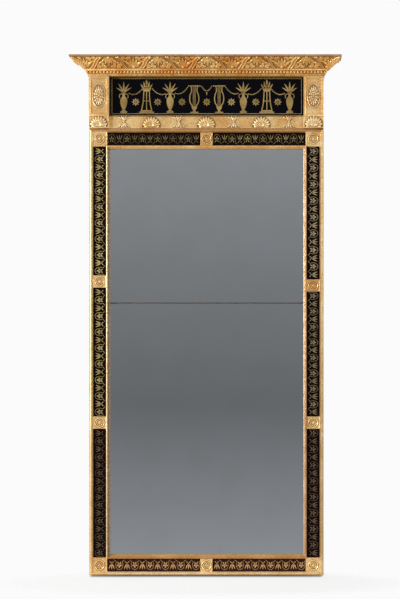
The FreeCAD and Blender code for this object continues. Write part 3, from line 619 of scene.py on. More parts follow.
# %% Painted shade and dirt
def paint_shade_and_dirt(piece, amount):
    """Write how much painted shade and soiling a piece has to start with: one number, or one for each of its
    points.
    """
    attribute = piece.data.attributes.new("shade_and_dirt", "FLOAT", "POINT")
    values = np.zeros(len(piece.data.vertices), np.float32) + amount
    attribute.data.foreach_set("value", values.astype(np.float32))
    return piece


def smooth_step(value, low, high):
    """A soft step from 0 at low to 1 at high, for arrays."""
    share = np.clip((value - low) / (high - low), 0, 1)
    return share * share * (3 - 2 * share)


def shade_halo(distance, width=2.6, amount=0.75):
    """Painted shade that fades with the distance in millimetres from a raised ornament."""
    return amount * np.exp(-((np.maximum(distance, 0) / width) ** 2))


def fine_faces(test, cuts):
    """Divide the faces that pass a test, so that their points can carry painted shade."""
    pick_faces(test)
    bpy.ops.mesh.subdivide(number_cuts=cuts)


def points_of(piece):
    """Coordinates of all points of a piece in millimetres, as three rows."""
    points = np.empty(len(piece.data.vertices) * 3)
    piece.data.vertices.foreach_get("co", points)
    return points.reshape(-1, 3).T / MM


print("dirt ready")

# %% Painted shade and highlight
def edge_ends(mesh):
    """The two points of every edge, and how many edges meet in each point."""
    ends = np.empty(len(mesh.edges) * 2, int)
    mesh.edges.foreach_get("vertices", ends)
    return ends[0::2], ends[1::2], np.maximum(np.bincount(ends, minlength=len(mesh.vertices)), 1)


def averaged(mesh, values, rounds):
    """Values of the points, evened out with those of their neighbours."""
    a, b, near = edge_ends(mesh)
    for _ in range(rounds):
        around = (np.bincount(a, values[b], len(near)) + np.bincount(b, values[a], len(near))) / near
        values = (values + around) / 2
    return values


def paint_shade_and_highlight(piece, gain=3.0, rounds=2):
    """Write `hollow`, painted shade and soiling, and `crest`, a painted highlight, from the mesh's bend and
    earlier soiling.
    """
    mesh = piece.data
    count = len(mesh.vertices)
    points, normals = np.empty(count * 3), np.empty(count * 3)
    mesh.vertices.foreach_get("co", points)
    mesh.vertices.foreach_get("normal", normals)
    points, normals = points.reshape(-1, 3), normals.reshape(-1, 3)
    a, b, near = edge_ends(mesh)
    span = points[b] - points[a]
    span /= np.maximum(np.linalg.norm(span, axis=1, keepdims=True), 1e-9)
    bend = np.bincount(a, (span * normals[a]).sum(1), count)
    bend -= np.bincount(b, (span * normals[b]).sum(1), count)
    bend = averaged(mesh, bend / near, rounds) * gain
    shade_and_dirt = np.zeros(count, np.float32)
    if "shade_and_dirt" in mesh.attributes:
        mesh.attributes["shade_and_dirt"].data.foreach_get("value", shade_and_dirt)
    for name, amount in (("hollow", np.maximum(bend, 0) + shade_and_dirt), ("crest", -bend * (1 - shade_and_dirt))):
        attribute = mesh.attributes.new(name, "FLOAT", "POINT")
        attribute.data.foreach_set("value", np.clip(amount, 0, 1).astype(np.float32))
    return piece


print("wear ready")

# %% [markdown]
# ## Patera blocks
# Each block of the border carries a turned roundel with two rings and a small rosette. The rings could be
# spun from a profile. Here a disc is inset step by step, because every inset is one groove or ring, as the
# turner cut it. The rosette is one petal copied round the middle.

# %% Roundel
CARCASS_FRONT = -36 * MM
PATERA_FACE = -45 * MM
FACE_ON = (math.pi / 2, 0, 0)  # turns a disc that faces up to face the front


def turned_disc(radius, height, steps, vertices=48):
    """A disc that faces the front at the origin, raised and then inset in steps."""
    disc = primitive("circle", vertices=vertices, radius=radius * MM, fill_type="NGON", rotation=FACE_ON)
    edit_all(disc)
    bpy.ops.mesh.extrude_region_move(TRANSFORM_OT_translate={"value": (0, -height * MM, 0)})
    insets(*steps)
    bpy.ops.object.mode_set(mode="OBJECT")
    return disc


def petal(length, width, depth, start, rise):
    """A tapered petal that points up, `start` above the middle and `rise` in front of the face."""
    leaf = ellipsoid(12, 8, (width / 2, depth, length / 2))
    for vertex in leaf.data.vertices:
        along = vertex.co.z / (length * MM) + 0.5
        vertex.co.x *= 0.5 + 0.7 * along
        vertex.co.z += (start + length / 2) * MM
        vertex.co.y -= rise * MM
    return leaf


def ring_of(leaf, count, turn=0.0):
    """Copies of a petal round the Y axis; the model itself is deleted."""
    ring = [copied(leaf, Matrix.Rotation(math.tau * (i + turn) / count, 4, "Y")) for i in range(count)]
    bpy.data.objects.remove(leaf)
    return ring


ROUNDEL_RADIUS = 20.0
GROOVE_FLOOR = -1.35  # what lies behind this is a groove
ring_steps = [(0.8, 1.2), (1.8, 1.0), (1.8, -1.0), (0.8, -2.3), (1.8, -0.1), (0.8, 1.9), (1.4, 0.9),
              (1.4, -0.9), (0.8, -2.0), (0.4, 0)]
disc = turned_disc(ROUNDEL_RADIUS, 2.2, ring_steps)
petals = ring_of(petal(4.6, 4.4, 2.4, 2.8, 1.4), 8)
boss = ellipsoid(16, 8, (3.6, 4.0, 3.6), (0, -1.4, 0))
roundel = joined("roundel", [disc, boss] + petals)
# Everything deeper than the groove floor is darkened as painted shade.
paint_shade_and_dirt(roundel, np.where(points_of(roundel)[1] > GROOVE_FLOOR, 0.9, 0.0))
print("roundel", len(roundel.data.polygons), "faces")

# %% Blocks
PANEL_SINK = 0.7
sunk = PATERA_FACE + PANEL_SINK * MM
patera_nodes = sorted(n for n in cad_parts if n.startswith("patera_"))
for node_name in patera_nodes:
    low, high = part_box(node_name)
    base = block((low.x, PATERA_FACE, low.z), (high.x, CARCASS_FRONT, high.z))
    edit(base)
    pick_faces(lambda middle, normal: normal.y < -0.5)
    insets((0.8, 0), (0.9, -PANEL_SINK), (0.5, 0))
    soften(base, 0.5)
    edit(base)
    fine_faces(lambda middle, normal: normal.y < -0.9 and abs(middle.y - sunk) < 1e-5, 16)
    bpy.ops.object.mode_set(mode="OBJECT")
    middle = (low + high) / 2
    x, y, z = points_of(base)
    away = np.hypot(x - middle.x / MM, z - middle.z / MM) - ROUNDEL_RADIUS
    # The sunk face is darkened round the roundel as painted shade.
    paint_shade_and_dirt(base, np.where(y < sunk / MM + 0.1, shade_halo(away), 0))
    twin = copied(roundel, Matrix.Translation((middle.x, sunk, middle.z)))
    made = paint_shade_and_highlight(joined(f"{node_name}_carved", [base, twin]), 1.4, 1)
    hand_over(made, warm_gilt, GILT_WOOD, node_name)
bpy.data.objects.remove(roundel)
print(len(patera_nodes), "patera blocks")

# %% [markdown]
# ## End blocks and oval paterae
# The end blocks close the frieze. Each has a sunk panel with a small moulding round it, and below it a die
# for a shell. One box is bisected between the two, and each half of its front is inset and pushed in.

# %% End blocks
DIE_TOP = 711 * MM
OVAL, OVAL_MIDDLE = (25.5, 48.5), 786.5  # half sizes and height of the middle, in millimetres
SHELL_HALF, SHELL_TALL, SHELL_FOOT = 35.0, 37.0, 671.25
panel_steps = [(5.5, 0), (1.2, 1.4), (1.6, 0), (1.6, -2.2), (0.8, -3.2)]
die_steps = [(3.2, 0), (0.8, -2.0)]
DIE_CUTS, PANEL_CUTS = 24, 28  # how finely the sunk faces are divided


def shell_distance(x, z):
    """Distance from the outline of a shell that stands at x = 0; far away below its foot."""
    away = (np.hypot(x / SHELL_HALF, (z - SHELL_FOOT) / SHELL_TALL) - 1) * SHELL_TALL
    return np.where(z > SHELL_FOOT - 6, away, 99)


for hand in ("left", "right"):
    node_name = f"end_block_{hand}"
    low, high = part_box(node_name)
    end = block(low, high)
    edit_all(end)
    bpy.ops.mesh.bisect(plane_co=(0, 0, DIE_TOP), plane_no=(0, 0, 1))
    pick_faces(lambda middle, normal: normal.y < -0.5 and middle.z > DIE_TOP)
    insets(*panel_steps)
    pick_faces(lambda middle, normal: normal.y < -0.5 and middle.z < DIE_TOP)
    insets(*die_steps)
    bpy.ops.mesh.subdivide(number_cuts=DIE_CUTS)
    fine_faces(lambda middle, normal: normal.y < -0.9 and middle.y > low.y + 3.5 * MM, PANEL_CUTS)
    soften(end, 0.4)
    x, y, z = points_of(end)
    x -= (low.x + high.x) / 2 / MM
    oval_away = (np.hypot(x / OVAL[0], (z - OVAL_MIDDLE) / OVAL[1]) - 1) * sum(OVAL) / 2
    away = np.where(z > DIE_TOP / MM, oval_away, shell_distance(x, z))
    # The sunk faces are darkened round the oval and the shell as painted shade.
    paint_shade_and_dirt(end, np.where(y > low.y / MM + 1.5, shade_halo(away), 0))
    end.name = f"{node_name}_panelled"
    hand_over(paint_shade_and_highlight(cleaned(end), 0.9, 0), warm_gilt, GILT_WOOD, node_name)
print("end blocks done")

# %% [markdown]
# The oval patera is a round one stretched upwards, as the carver's pattern books draw it: a raised rim, a
# fan of long leaves, a ring of short ones over it and a boss.

# %% Oval paterae
rim_steps = [(0.8, 1.0), (1.1, 0.3), (1.0, -1.4), (0.8, -1.0)]
disc = turned_disc(OVAL[0], 2.6, rim_steps, 64)
leaves = ring_of(petal(13.4, 6.0, 2.4, 6.4, 1.6), 14) + ring_of(petal(7.4, 5.0, 2.6, 2.8, 3.0), 8, 0.5)
boss = ellipsoid(20, 10, (3.6, 4.4, 3.6), (0, -2.6, 0))
oval = joined("oval", [disc, boss] + leaves)
depth = points_of(oval)[1]
# Points at the depth of the groove inside the rim are darkened as painted shade.
paint_shade_and_dirt(oval, np.where((depth > -1.9) & (depth < -1.2), 0.5, 0.0))
oval.data.transform(Matrix.Diagonal((1, 1, OVAL[1] / OVAL[0], 1)))
for hand in ("left", "right"):
    low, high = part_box(f"oval_patera_{hand}")
    middle = (low + high) / 2
    made = copied(oval, Matrix.Translation((middle.x, high.y + 0.2 * MM, middle.z)))
    made.name = f"oval_patera_{hand}_carved"
    hand_over(paint_shade_and_highlight(made, 1.6, 1), gilt, GILT_WOOD, f"oval_patera_{hand}")
bpy.data.objects.remove(oval)
print("oval paterae done")

# %% [markdown]
# ## Shells
# A carved scallop is a low dome with ribs that spread from a hinge. Ribs and dome are modelled as stretched
# spheres, then remeshed into one skin, so that they run into each other as they do in a single piece of wood.

# %% Scallop
HINGE_HEIGHT = 3.5
RIBS = 9
RIB_STEP = 19.0  # degrees
RIB_WIDTH, RIB_DEPTH, RIB_RISE, RIB_ARCH = 11.6, 4.2, 3.4, 3.2


def fused(name, pieces, voxel):
    """Join pieces, remesh them to one skin, smooth it and cut it flat at the seat plane y = 0."""
    made = joined(name, pieces)
    made.data.remesh_voxel_size = voxel * MM
    bpy.ops.object.voxel_remesh()
    modify(made, "SMOOTH", factor=0.5, iterations=2)
    edit_all(made)
    bpy.ops.mesh.bisect(plane_co=(0, 0.3 * MM, 0), plane_no=(0, 1, 0), use_fill=True, clear_outer=True)
    return cleaned(made)


def scallop_rib(angle):
    """One rib of the shell, leaning by an angle from the upright."""
    reach = 1 / math.hypot(math.cos(angle) / SHELL_TALL, math.sin(angle) / SHELL_HALF)
    rib = petal(reach, RIB_WIDTH, RIB_DEPTH, 0, RIB_RISE)
    for vertex in rib.data.vertices:
        along = vertex.co.z / (reach * MM)
        vertex.co.y -= RIB_ARCH * MM * math.sin(math.pi * min(along, 1.0) * 0.85)
    rib.data.transform(Matrix.Rotation(angle, 4, "Y"))
    return rib


parts = [scallop_rib(math.radians(RIB_STEP * (i - (RIBS - 1) / 2))) for i in range(RIBS)]
parts.append(ellipsoid(32, 16, (28, 5.5, 30)))
parts += [ellipsoid(16, 10, (5.2, 6, 3.9), (side * 8.5, -1.0, 0.6)) for side in (-1, 1)]
scallop = fused("scallop", parts, 0.8)
edit_all(scallop)
bpy.ops.mesh.bisect(plane_co=(0, 0, -HINGE_HEIGHT * MM), plane_no=(0, 0, -1), use_fill=True, clear_outer=True)
cleaned(scallop)


def groove_dirt_and_shade(piece, step, first, last, start):
    """Dirt and painted shade in the grooves between ribs that spread up and down from the middle, and at the
    foot.
    """
    x, y, z = points_of(piece)
    reach = np.hypot(x, z)
    angle = np.degrees(np.arctan2(x, np.abs(z)))
    groove = np.clip(np.floor(angle / step) + 0.5, first, last) * step
    away = np.radians(np.abs(angle - groove)) * reach
    rim = 0.7 * (1 - smooth_step(-y, 0.4, 2.2))
    grooves = 0.85 * np.exp(-((away / 1.1) ** 2)) * smooth_step(reach, start, start + 6)
    return paint_shade_and_dirt(piece, np.maximum(rim, grooves))


groove_dirt_and_shade(scallop, RIB_STEP, -3.5, 3.5, 9)
print("scallop", len(scallop.data.polygons), "faces")

# %% Five shells
BAND_LOW, BAND_HIGH = 663 * MM, 713 * MM
BAND_FACE, DIE_FACE = -46 * MM, -60 * MM
SHELL_PITCH = 208.5 * MM
END_X = 407 * MM
places = [(i * SHELL_PITCH, BAND_FACE, SHELL_FOOT * MM) for i in (-1, 0, 1)]
places += [(side * END_X, DIE_FACE, SHELL_FOOT * MM) for side in (-1, 1)]
shells = joined("shells_carved", [copied(scallop, Matrix.Translation(place)) for place in places])
bpy.data.objects.remove(scallop)
hand_over(paint_shade_and_highlight(shells, 7.0, 1), bright_gilt, GILT_WOOD, "carved_shells")
print("shells", len(shells.data.polygons), "faces")

# %% [markdown]
# ## Double palmettes
# Between the shells two palmettes stand foot to foot and meet in a knot. Each leaf is a petal with a curl,
# set once upwards and once downwards by a half turn, and the whole is remeshed like the shell.

# %% Palmettes
LEAF_CURL = 3.0
LEAF_STEP = 25  # degrees
LEAF_LENGTHS = (28.5, 23.5, 20.5, 23.5, 28.5)
parts = []
for i, length in enumerate(LEAF_LENGTHS):
    lean = (i - 2) / 2  # from -1 for the leaf on the left to 1 for the one on the right
    angle = math.radians(2 * LEAF_STEP * lean)
    leaf = petal(length, 7.4, 4.2, 0.5, 1.6)
    for vertex in leaf.data.vertices:
        vertex.co.x -= LEAF_CURL * lean * math.sin(math.pi * vertex.co.z / (length * MM)) * MM
    for half_turn in (0, math.pi):
        parts.append(copied(leaf, Matrix.Rotation(angle + half_turn, 4, "Y")))
    bpy.data.objects.remove(leaf)
knot = ellipsoid(16, 10, (5.2, 6.0, 3.4))
double_palmette = groove_dirt_and_shade(fused("double_palmette", parts + [knot], 0.75), LEAF_STEP, -1.5, 1.5, 6)
places = [((i - 1.5) * SHELL_PITCH, BAND_FACE, (BAND_LOW + BAND_HIGH) / 2) for i in range(4)]
palmettes = joined("palmettes_carved", [copied(double_palmette, Matrix.Translation(p)) for p in places])
bpy.data.objects.remove(double_palmette)
hand_over(paint_shade_and_highlight(palmettes, 7.0, 1), bright_gilt, GILT_WOOD, "band_palmettes")
print("palmettes", len(palmettes.data.polygons), "faces")

# %% [markdown]
# ## Bead course
# Under the cornice runs a row of turned beads between a bed and a fillet. Bed, seat and fillet are boxes with
# the carcass cut out of them, which mitres their corners by itself. One bead is repeated by an Array. There
# are about eighty of them, so a bead has only a few faces.

# %% Bead course
HALF_WIDTH, BLOCK_FRONT = 445 * MM, -62 * MM
FRIEZE_TOP, BED_TOP, BEAD_TOP, FILLET_TOP = 860 * MM, 869.5 * MM, 879 * MM, 886 * MM
BEAD_RADIUS = 4.75 * MM
FRONT_BEADS, SIDE_BEADS = 71, 5
BEAD_SEAT, BEAD_STRETCH = 5 * MM, 1.08
BED_OUT, SEAT_OUT, FILLET_OUT = 3, 4.5, 13  # how far they stand out from the carcass, in millimetres
BEAD_BACK = 5.6 * MM  # from the wall to the middle of the last bead


def round_three_sides(projection, low, high):
    """A band that runs round the front and both sides of the frame."""
    reach = HALF_WIDTH + projection * MM
    band = block((-reach, BLOCK_FRONT - projection * MM, low), (reach, 0, high))
    core = block((-HALF_WIDTH, BLOCK_FRONT, low - 1), (HALF_WIDTH, 1, high + 1))
    modify(band, "BOOLEAN", object=core, operation="DIFFERENCE", solver="EXACT")
    bpy.data.objects.remove(core)
    return soften(band, 0.6)


def bead_row(start, offset, count):
    """A row of beads made from one, each a little longer than high."""
    along_x = abs(offset[0]) > 0
    stretch = Vector((BEAD_STRETCH, 1, 1)) if along_x else Vector((1, BEAD_STRETCH, 1))
    bead = primitive("uv_sphere", segments=12, ring_count=8, radius=BEAD_RADIUS, scale=stretch)
    bead.data.transform(Matrix.Translation(start))
    return modify(bead, "ARRAY", count=count, use_relative_offset=False, use_constant_offset=True,
                  constant_offset_displace=offset)


bead_z = (BED_TOP + BEAD_TOP) / 2
bead_pitch = 2 * (HALF_WIDTH + BEAD_SEAT) / (FRONT_BEADS - 1)
side_pitch = (BEAD_SEAT - BLOCK_FRONT - BEAD_BACK) / SIDE_BEADS
rows = [bead_row((-HALF_WIDTH - BEAD_SEAT, BLOCK_FRONT - BEAD_SEAT, bead_z), (bead_pitch, 0, 0), FRONT_BEADS)]
for side in (-1, 1):
    start = (side * (HALF_WIDTH + BEAD_SEAT), BLOCK_FRONT - BEAD_SEAT + side_pitch, bead_z)
    rows.append(bead_row(start, (0, side_pitch, 0), SIDE_BEADS))
bed = round_three_sides(BED_OUT, FRIEZE_TOP, BED_TOP)
# Painted shade: the underside of the bed fully, the seat between the beads nearly so; the rest of the bed and
# the fillet are darkened less.
paint_shade_and_dirt(bed, np.where(points_of(bed)[2] < FRIEZE_TOP / MM + 0.05, 1.0, 0.6))
bands = [bed, paint_shade_and_dirt(round_three_sides(SEAT_OUT, BED_TOP, BEAD_TOP), 0.9),
         paint_shade_and_dirt(round_three_sides(FILLET_OUT, BEAD_TOP, FILLET_TOP), 0.4)]
beads = joined("bead_course_turned", bands + rows)
hand_over(paint_shade_and_highlight(beads, 0.8, 0), deep_gilt, GILT_WOOD, "bead_course")
print("bead course", FRONT_BEADS + 2 * SIDE_BEADS, "beads")

# %% [markdown]
# ## Carved cornice
# The hollow of the cornice is carved with a zig-zag ribbon, and acanthus fills the fields between its bends.
# Hundreds of separate leaves would be heavy and would leave gaps, so the carving is a relief: a fine grid is
# laid along the profile, and each of its points is lifted by the height of the leaf or rib it belongs to.
# First come the single forms. `s` runs along the cornice and `t` up its hollow, in millimetres.

# %% Lobes, curls and ribs
HOLLOW_FOOT, HOLLOW_HEAD = np.array((15.0, 886.0)), np.array((61.0, 925.0))
HOLLOW_SWEEP = 2.2
PERIOD, FIRST_RIBBON = 186.0, -41.8
RIBBON_LEAN = 34.0
RELIEF = 6.0
CROWN_TOP = 932.0


def leaflet(height, s, t, foot, angle, length, width, rise, curl=0.0):
    """Raise one lobe of a leaf on the carving: round across, with a vein along it and a curled tip."""
    near = np.abs(s - foot[0]) < length + width
    q, r = s[near] - foot[0], t[near] - foot[1]
    turn = math.radians(angle)
    along = q * math.cos(turn) + r * math.sin(turn)
    share = np.clip(along / length, 0, 1)
    across = r * math.cos(turn) - q * math.sin(turn) - curl * length * share**2
    half = width * np.sin(np.pi * share**0.8) ** 0.7 + 1e-6
    crown = np.sqrt(np.clip(1 - (across / half) ** 2, 0, 1))
    vein = 0.3 * np.exp(-((across / (0.22 * width)) ** 2)) * (crown > 0.3)
    lobe = np.where((along > 0) & (along < length), rise * (crown * (0.45 + 0.55 * share) - vein), 0.0)
    height[near] = np.maximum(height[near], lobe)


def scroll(s, t, middle, radius, rise):
    """A small curled leaf tip: a dome with a groove round its eye."""
    away = np.hypot(s - middle[0], t - middle[1]) / radius
    return rise * np.sqrt(np.clip(1 - away**2, 0, 1)) * (1 - 0.45 * np.exp(-(((away - 0.5) / 0.16) ** 2)))


def ribs(s, t, middle, lean, gap, half, rise, length):
    """Two ribs side by side that climb the hollow in a slow S."""
    line = middle + lean * (t / length - 0.5) + 2.0 * np.sin(2 * np.pi * t / length) * np.sign(lean)
    away = np.abs((s - line) * length / math.hypot(length, lean))
    height = rise * np.sqrt(np.clip(1 - ((away - gap) / half) ** 2, 0, 1))
    return np.maximum(height, np.where(away < gap, rise * 0.35, 0))


print("forms of the carving, with a relief of", RELIEF, "mm")

# %% [markdown]
# Between two ribbons lies a field that is narrow at one end. A pair of acanthus leaves grows out of that end,
# and small sprigs fill the wide one. A broad leaf wraps each corner, to hide the mitre.

# %% Leaves of one field
STEM = ((3, 3), (8, 16), (16, 28), (28, 39), (42, 47))  # of the right-hand leaf of a field
SPRIGS = ((18, 100), (40, 112))  # places along the wide end of a field, and the way the sprig there points


def foliage(height, s, t, middle, length, upward):
    """Two acanthus leaves that curl outwards from the narrow end of a field, and a bud between them."""
    flip = 1 if upward else -1
    base = 0.0 if upward else length
    for side in (-1, 1):
        for i in range(1, len(STEM)):
            (q0, r0), (q, r) = STEM[i - 1], STEM[i]
            heading = math.degrees(math.atan2(r - r0, q - q0))
            lobes = ((44, 21.0, 5.8, -0.22), (-46, 19.0, 5.6, 0.22))
            if i == len(STEM) - 1:
                lobes += ((-8, 19.0, 5.6, -0.3),)
            for k, (lean, reach, width, curl) in enumerate(lobes):
                angle = heading + lean
                angle = flip * (angle if side > 0 else 180 - angle)
                foot = (middle + side * q0 + side * (q - q0) * 0.4, base + flip * (r0 + (r - r0) * 0.4))
                rise = RELIEF * (1.0 - 0.14 * ((i + k) % 3))
                leaflet(height, s, t, foot, angle, reach, width, rise, curl * flip * side)
        for q, heading in SPRIGS:
            for lean in (-34, 0, 34):
                angle = -flip * (heading + lean if side > 0 else 180 - heading - lean)
                foot = (middle + side * q, base + flip * (length - 2))
                leaflet(height, s, t, foot, angle, 15.0, 4.6, RELIEF * 0.8)
    for lean, reach, width in ((0, 46.0, 6.6), (-17, 38.0, 5.4), (17, 38.0, 5.4)):
        foot = (middle + lean * 0.12, base + flip * 4)
        leaflet(height, s, t, foot, (90 - lean) * flip, reach, width, RELIEF)
    np.maximum(height, scroll(s, t, (middle, base + flip * 6), 6.0, RELIEF * 1.1), out=height)


def corner_leaf(away, t, length):
    """Half of the broad leaf that wraps each mitre; `away` is the distance from the mitre."""
    lobes = 1 + 0.22 * np.abs(np.sin(np.pi * t / length * 5))
    half = 17 * lobes * np.sin(np.pi * np.clip(t / length, 0, 1) ** 0.8 * 0.97) ** 0.6 + 1e-6
    crown = np.sqrt(np.clip(1 - (away / half) ** 2, 0, 1))
    veins = 0.16 * np.cos((t - away * 1.2) * 2 * np.pi / 9.0)
    return RELIEF * crown * (0.85 + veins) - 0.9 * np.exp(-((away / 1.2) ** 2)) * crown


print("leaves drawn")

# %% The whole carving
SECOND_RIBBON = PERIOD * 0.53  # from one ribbon to the next, which leans the other way


def carving(s, t, away, length):
    """Height of the carving: fields of leaves, the ribbons cut clear of them, and the corner leaves."""
    height = np.zeros_like(s)
    first = int(np.floor((s.min() - FIRST_RIBBON) / PERIOD)) - 1
    last = int(np.ceil((s.max() - FIRST_RIBBON) / PERIOD)) + 1
    for k in range(first, last + 1):
        ribbon = FIRST_RIBBON + k * PERIOD
        back = ribbon + SECOND_RIBBON
        foliage(height, s, t, (ribbon + back) / 2, length, False)
        foliage(height, s, t, (back + ribbon + PERIOD) / 2, length, True)
    for k in range(first, last + 1):
        ribbon = FIRST_RIBBON + k * PERIOD
        for middle, lean, gap, half, rise in ((ribbon, RIBBON_LEAN, 5.0, 3.6, 7.4),
                                              (ribbon + SECOND_RIBBON, -RIBBON_LEAN, 3.0, 2.2, 5.4)):
            line = middle + lean * (t / length - 0.5)
            bare = smooth_step(np.abs(s - line), gap + half + 0.8, gap + half + 3.2)
            height = np.maximum(height * bare, ribs(s, t, middle, lean, gap, half, rise, length))
    near = smooth_step(away, 15.0, 21.0)
    height = np.maximum(height * near, corner_leaf(away, t, length))
    return height * smooth_step(t, 0.3, 2.6) * smooth_step(length - t, 0.3, 2.6)


print("carving repeats every", PERIOD, "mm")

# %% [markdown]
# The grid itself is a primitive whose points are moved: its columns run along the cornice and its rows follow
# the profile. Towards an end the points are held back at the mitre, so front and returns meet.

# %% Profile of the cornice
HOLLOW_ROWS = 72
FRONT_END, BLOCK_DEPTH, TIP = 445.0, 62.0, 66.0


def cornice_rows():
    """Points of the cornice profile: projection, height, outward normal and place along the hollow."""
    chord = HOLLOW_HEAD - HOLLOW_FOOT
    half_chord = np.linalg.norm(chord) / 2
    radius = HOLLOW_SWEEP * half_chord * 2
    inward = np.array((chord[1], -chord[0])) / (half_chord * 2)
    centre = (HOLLOW_FOOT + HOLLOW_HEAD) / 2 + inward * math.sqrt(radius**2 - half_chord**2)
    half_angle = math.asin(half_chord / radius)
    length = 2 * half_angle * radius
    foot = HOLLOW_FOOT[1]
    rows = [(0.0, foot, 0.0, 0.0, -1.0), (14.6, foot, 0.0, 0.0, -1.0)]
    base = math.atan2(*(HOLLOW_FOOT - centre)[::-1])
    for share in np.arange(HOLLOW_ROWS + 1) / HOLLOW_ROWS:
        angle = base - 2 * half_angle * share
        out = np.array((math.cos(angle), math.sin(angle)))
        rows.append((*(centre + out * radius), *-out, length * share))
    head = HOLLOW_HEAD[1]
    crown = [(TIP - 0.6, head), (TIP, head + 0.6), (TIP, CROWN_TOP - 0.8), (TIP - 0.8, CROWN_TOP),
             (0.0, CROWN_TOP), (0.0, foot)]
    rows += [(p, z, 0.0, 0.0, -1.0) for p, z in crown]
    return np.array(rows), length


profile, hollow_length = cornice_rows()
print("profile of", len(profile), "rows")

# %% Grid along a profile
def grid_moulding(name, rows, columns, place, lift, shade_and_soil):
    """A grid laid along a profile. `place` turns (along, projection) into x and y in millimetres, and gives
    the pattern coordinate and the distance from the mitre; `lift` gives the relief and the last argument
    the painted shade and soiling."""
    row_count = len(rows) - 1
    moulding = primitive("grid", x_subdivisions=columns, y_subdivisions=row_count, size=1.0)
    share, across = points_of(moulding)[:2] * MM + 0.5
    p, z, out_p, out_z, t = rows[np.rint(across * row_count).astype(int)].T
    s, away = place(share, p)[2:]
    height = averaged(moulding.data, np.where(t >= 0, lift(s, np.maximum(t, 0), away), 0.0), 2) * (t >= 0)
    p, z = p + out_p * height, z + out_z * height
    x, y = place(share, p)[:2]
    moulding.data.vertices.foreach_set("co", np.stack((x, y, z), 1).ravel() * MM)
    moulding.data.update()
    moulding.name = name
    paint_shade_and_dirt(moulding, shade_and_soil(s, z, t, height))
    edit_all(cleaned(moulding))
    bpy.ops.mesh.fill_holes(sides=0)
    bpy.ops.mesh.normals_make_consistent(inside=False)
    bpy.ops.object.mode_set(mode="OBJECT")
    return moulding


print("grid mouldings ready")

# %% Cornice mouldings
FRONT_COLUMNS, RETURN_COLUMNS = 1150, 146
RETURN_SHIFT = 40.0  # moves the pattern along the returns


def along_front(share, p):
    """Across the front, from mitre to mitre."""
    reach = FRONT_END + p
    raw = (share * 2 - 1) * (FRONT_END + TIP)
    x = np.clip(raw, -reach, reach)
    return x, -BLOCK_DEPTH - p, x, reach - np.abs(x)


def along_side(side):
    """Along one side, from the wall to the mitre."""
    def place(share, p):
        reach = BLOCK_DEPTH + p
        depth = np.minimum(share * (BLOCK_DEPTH + TIP), reach)
        along = side * (FRONT_END + RETURN_SHIFT) + depth - reach
        return side * (FRONT_END + p), -depth, along, reach - depth
    return place


def cornice_relief(s, t, away):
    """The carving over the whole hollow."""
    return carving(s, t, away, hollow_length)


def cornice_shade_and_soil(s, z, t, height):
    """Painted shade on the ground between the leaves, and an even darkening of the crown."""
    ground = np.where(t >= 0, 0.6 * (1 - smooth_step(height, 0.4, 2.6)), 0.0)
    return np.where(z > HOLLOW_HEAD[1] - 0.5, 0.7, ground)


for node_name, columns, place in (("cornice_front", FRONT_COLUMNS, along_front),
                                  ("cornice_return_left", RETURN_COLUMNS, along_side(-1)),
                                  ("cornice_return_right", RETURN_COLUMNS, along_side(1))):
    made = grid_moulding(f"{node_name}_carved", profile, columns, place, cornice_relief, cornice_shade_and_soil)
    hand_over(paint_shade_and_highlight(made, 4.0, 2), deep_gilt, GILT_WOOD, node_name)
    print(node_name, len(made.data.polygons), "faces")

# %% [markdown]
# ## Shell band
# The board behind the shells is the same kind of grid on a plain profile. It is only so fine because it is
# darkened as painted shade round every shell and palmette, and the points near them carry it.

# %% Shell band
BAND_HALF, BAND_COLUMNS, BAND_ROWS = 369.0, 370, 23
BAND_OUT, LIP_OUT, LIP = 10, 12, 4  # how far the band and its two lips stand out, and the lips' height
low, high = BAND_LOW / MM, BAND_HIGH / MM
steps = [(0, low), (LIP_OUT, low), (LIP_OUT, low + LIP)]
steps += [(BAND_OUT, z) for z in np.linspace(low + LIP, high - LIP, BAND_ROWS)]
steps += [(LIP_OUT, high - LIP), (LIP_OUT, high), (0, high), (0, low)]


def along_band(share, p):
    """Straight across the frieze, in front of the carcass."""
    x = (share * 2 - 1) * BAND_HALF
    return x, CARCASS_FRONT / MM - p, x, x


def band_painted_shade(s, z, t, height):
    """Painted shade round the shells and the palmettes, and on the upper lip."""
    shade_and_dirt = np.zeros_like(s)
    pitch = SHELL_PITCH / MM
    up = np.abs(z - (low + high) / 2)
    for i in range(-1, 2):
        shade_and_dirt = np.maximum(shade_and_dirt, shade_halo(shell_distance(s - i * pitch, z)))
    for i in range(4):
        away = np.abs(s - (i - 1.5) * pitch) - 4 - 19 * (np.minimum(up, 20) / 20) ** 1.3
        shade_and_dirt = np.maximum(shade_and_dirt, shade_halo(away))
    return np.where(z > high - LIP - 0.1, 0.85, np.where(z > low + LIP - 0.1, shade_and_dirt, 0))


band_rows = np.array([(p, z, 0, 0, -1.0) for p, z in steps])
band = grid_moulding(
    "shell_band_moulded", band_rows, BAND_COLUMNS, along_band, lambda s, t, away: 0 * s, band_painted_shade)
hand_over(paint_shade_and_highlight(band, 0.5, 0), warm_gilt, GILT_WOOD, "shell_band")
print("shell band", len(band.data.polygons), "faces")

# %% [markdown]
# ## Gold leaf behind the glass
# The glass painter scratched leaves and loops out of gold leaf and painted black over it. A flat pattern like
# this could be a texture, but cut shapes stay sharp from close by. Each is an outline in a flat, filled
# curve, a tenth of a millimetre thick, that is turned into a mesh before it is laid on its glass.

# %% Shapes cut from leaf, in millimetres
LEAF_THICK = 0.1 * MM


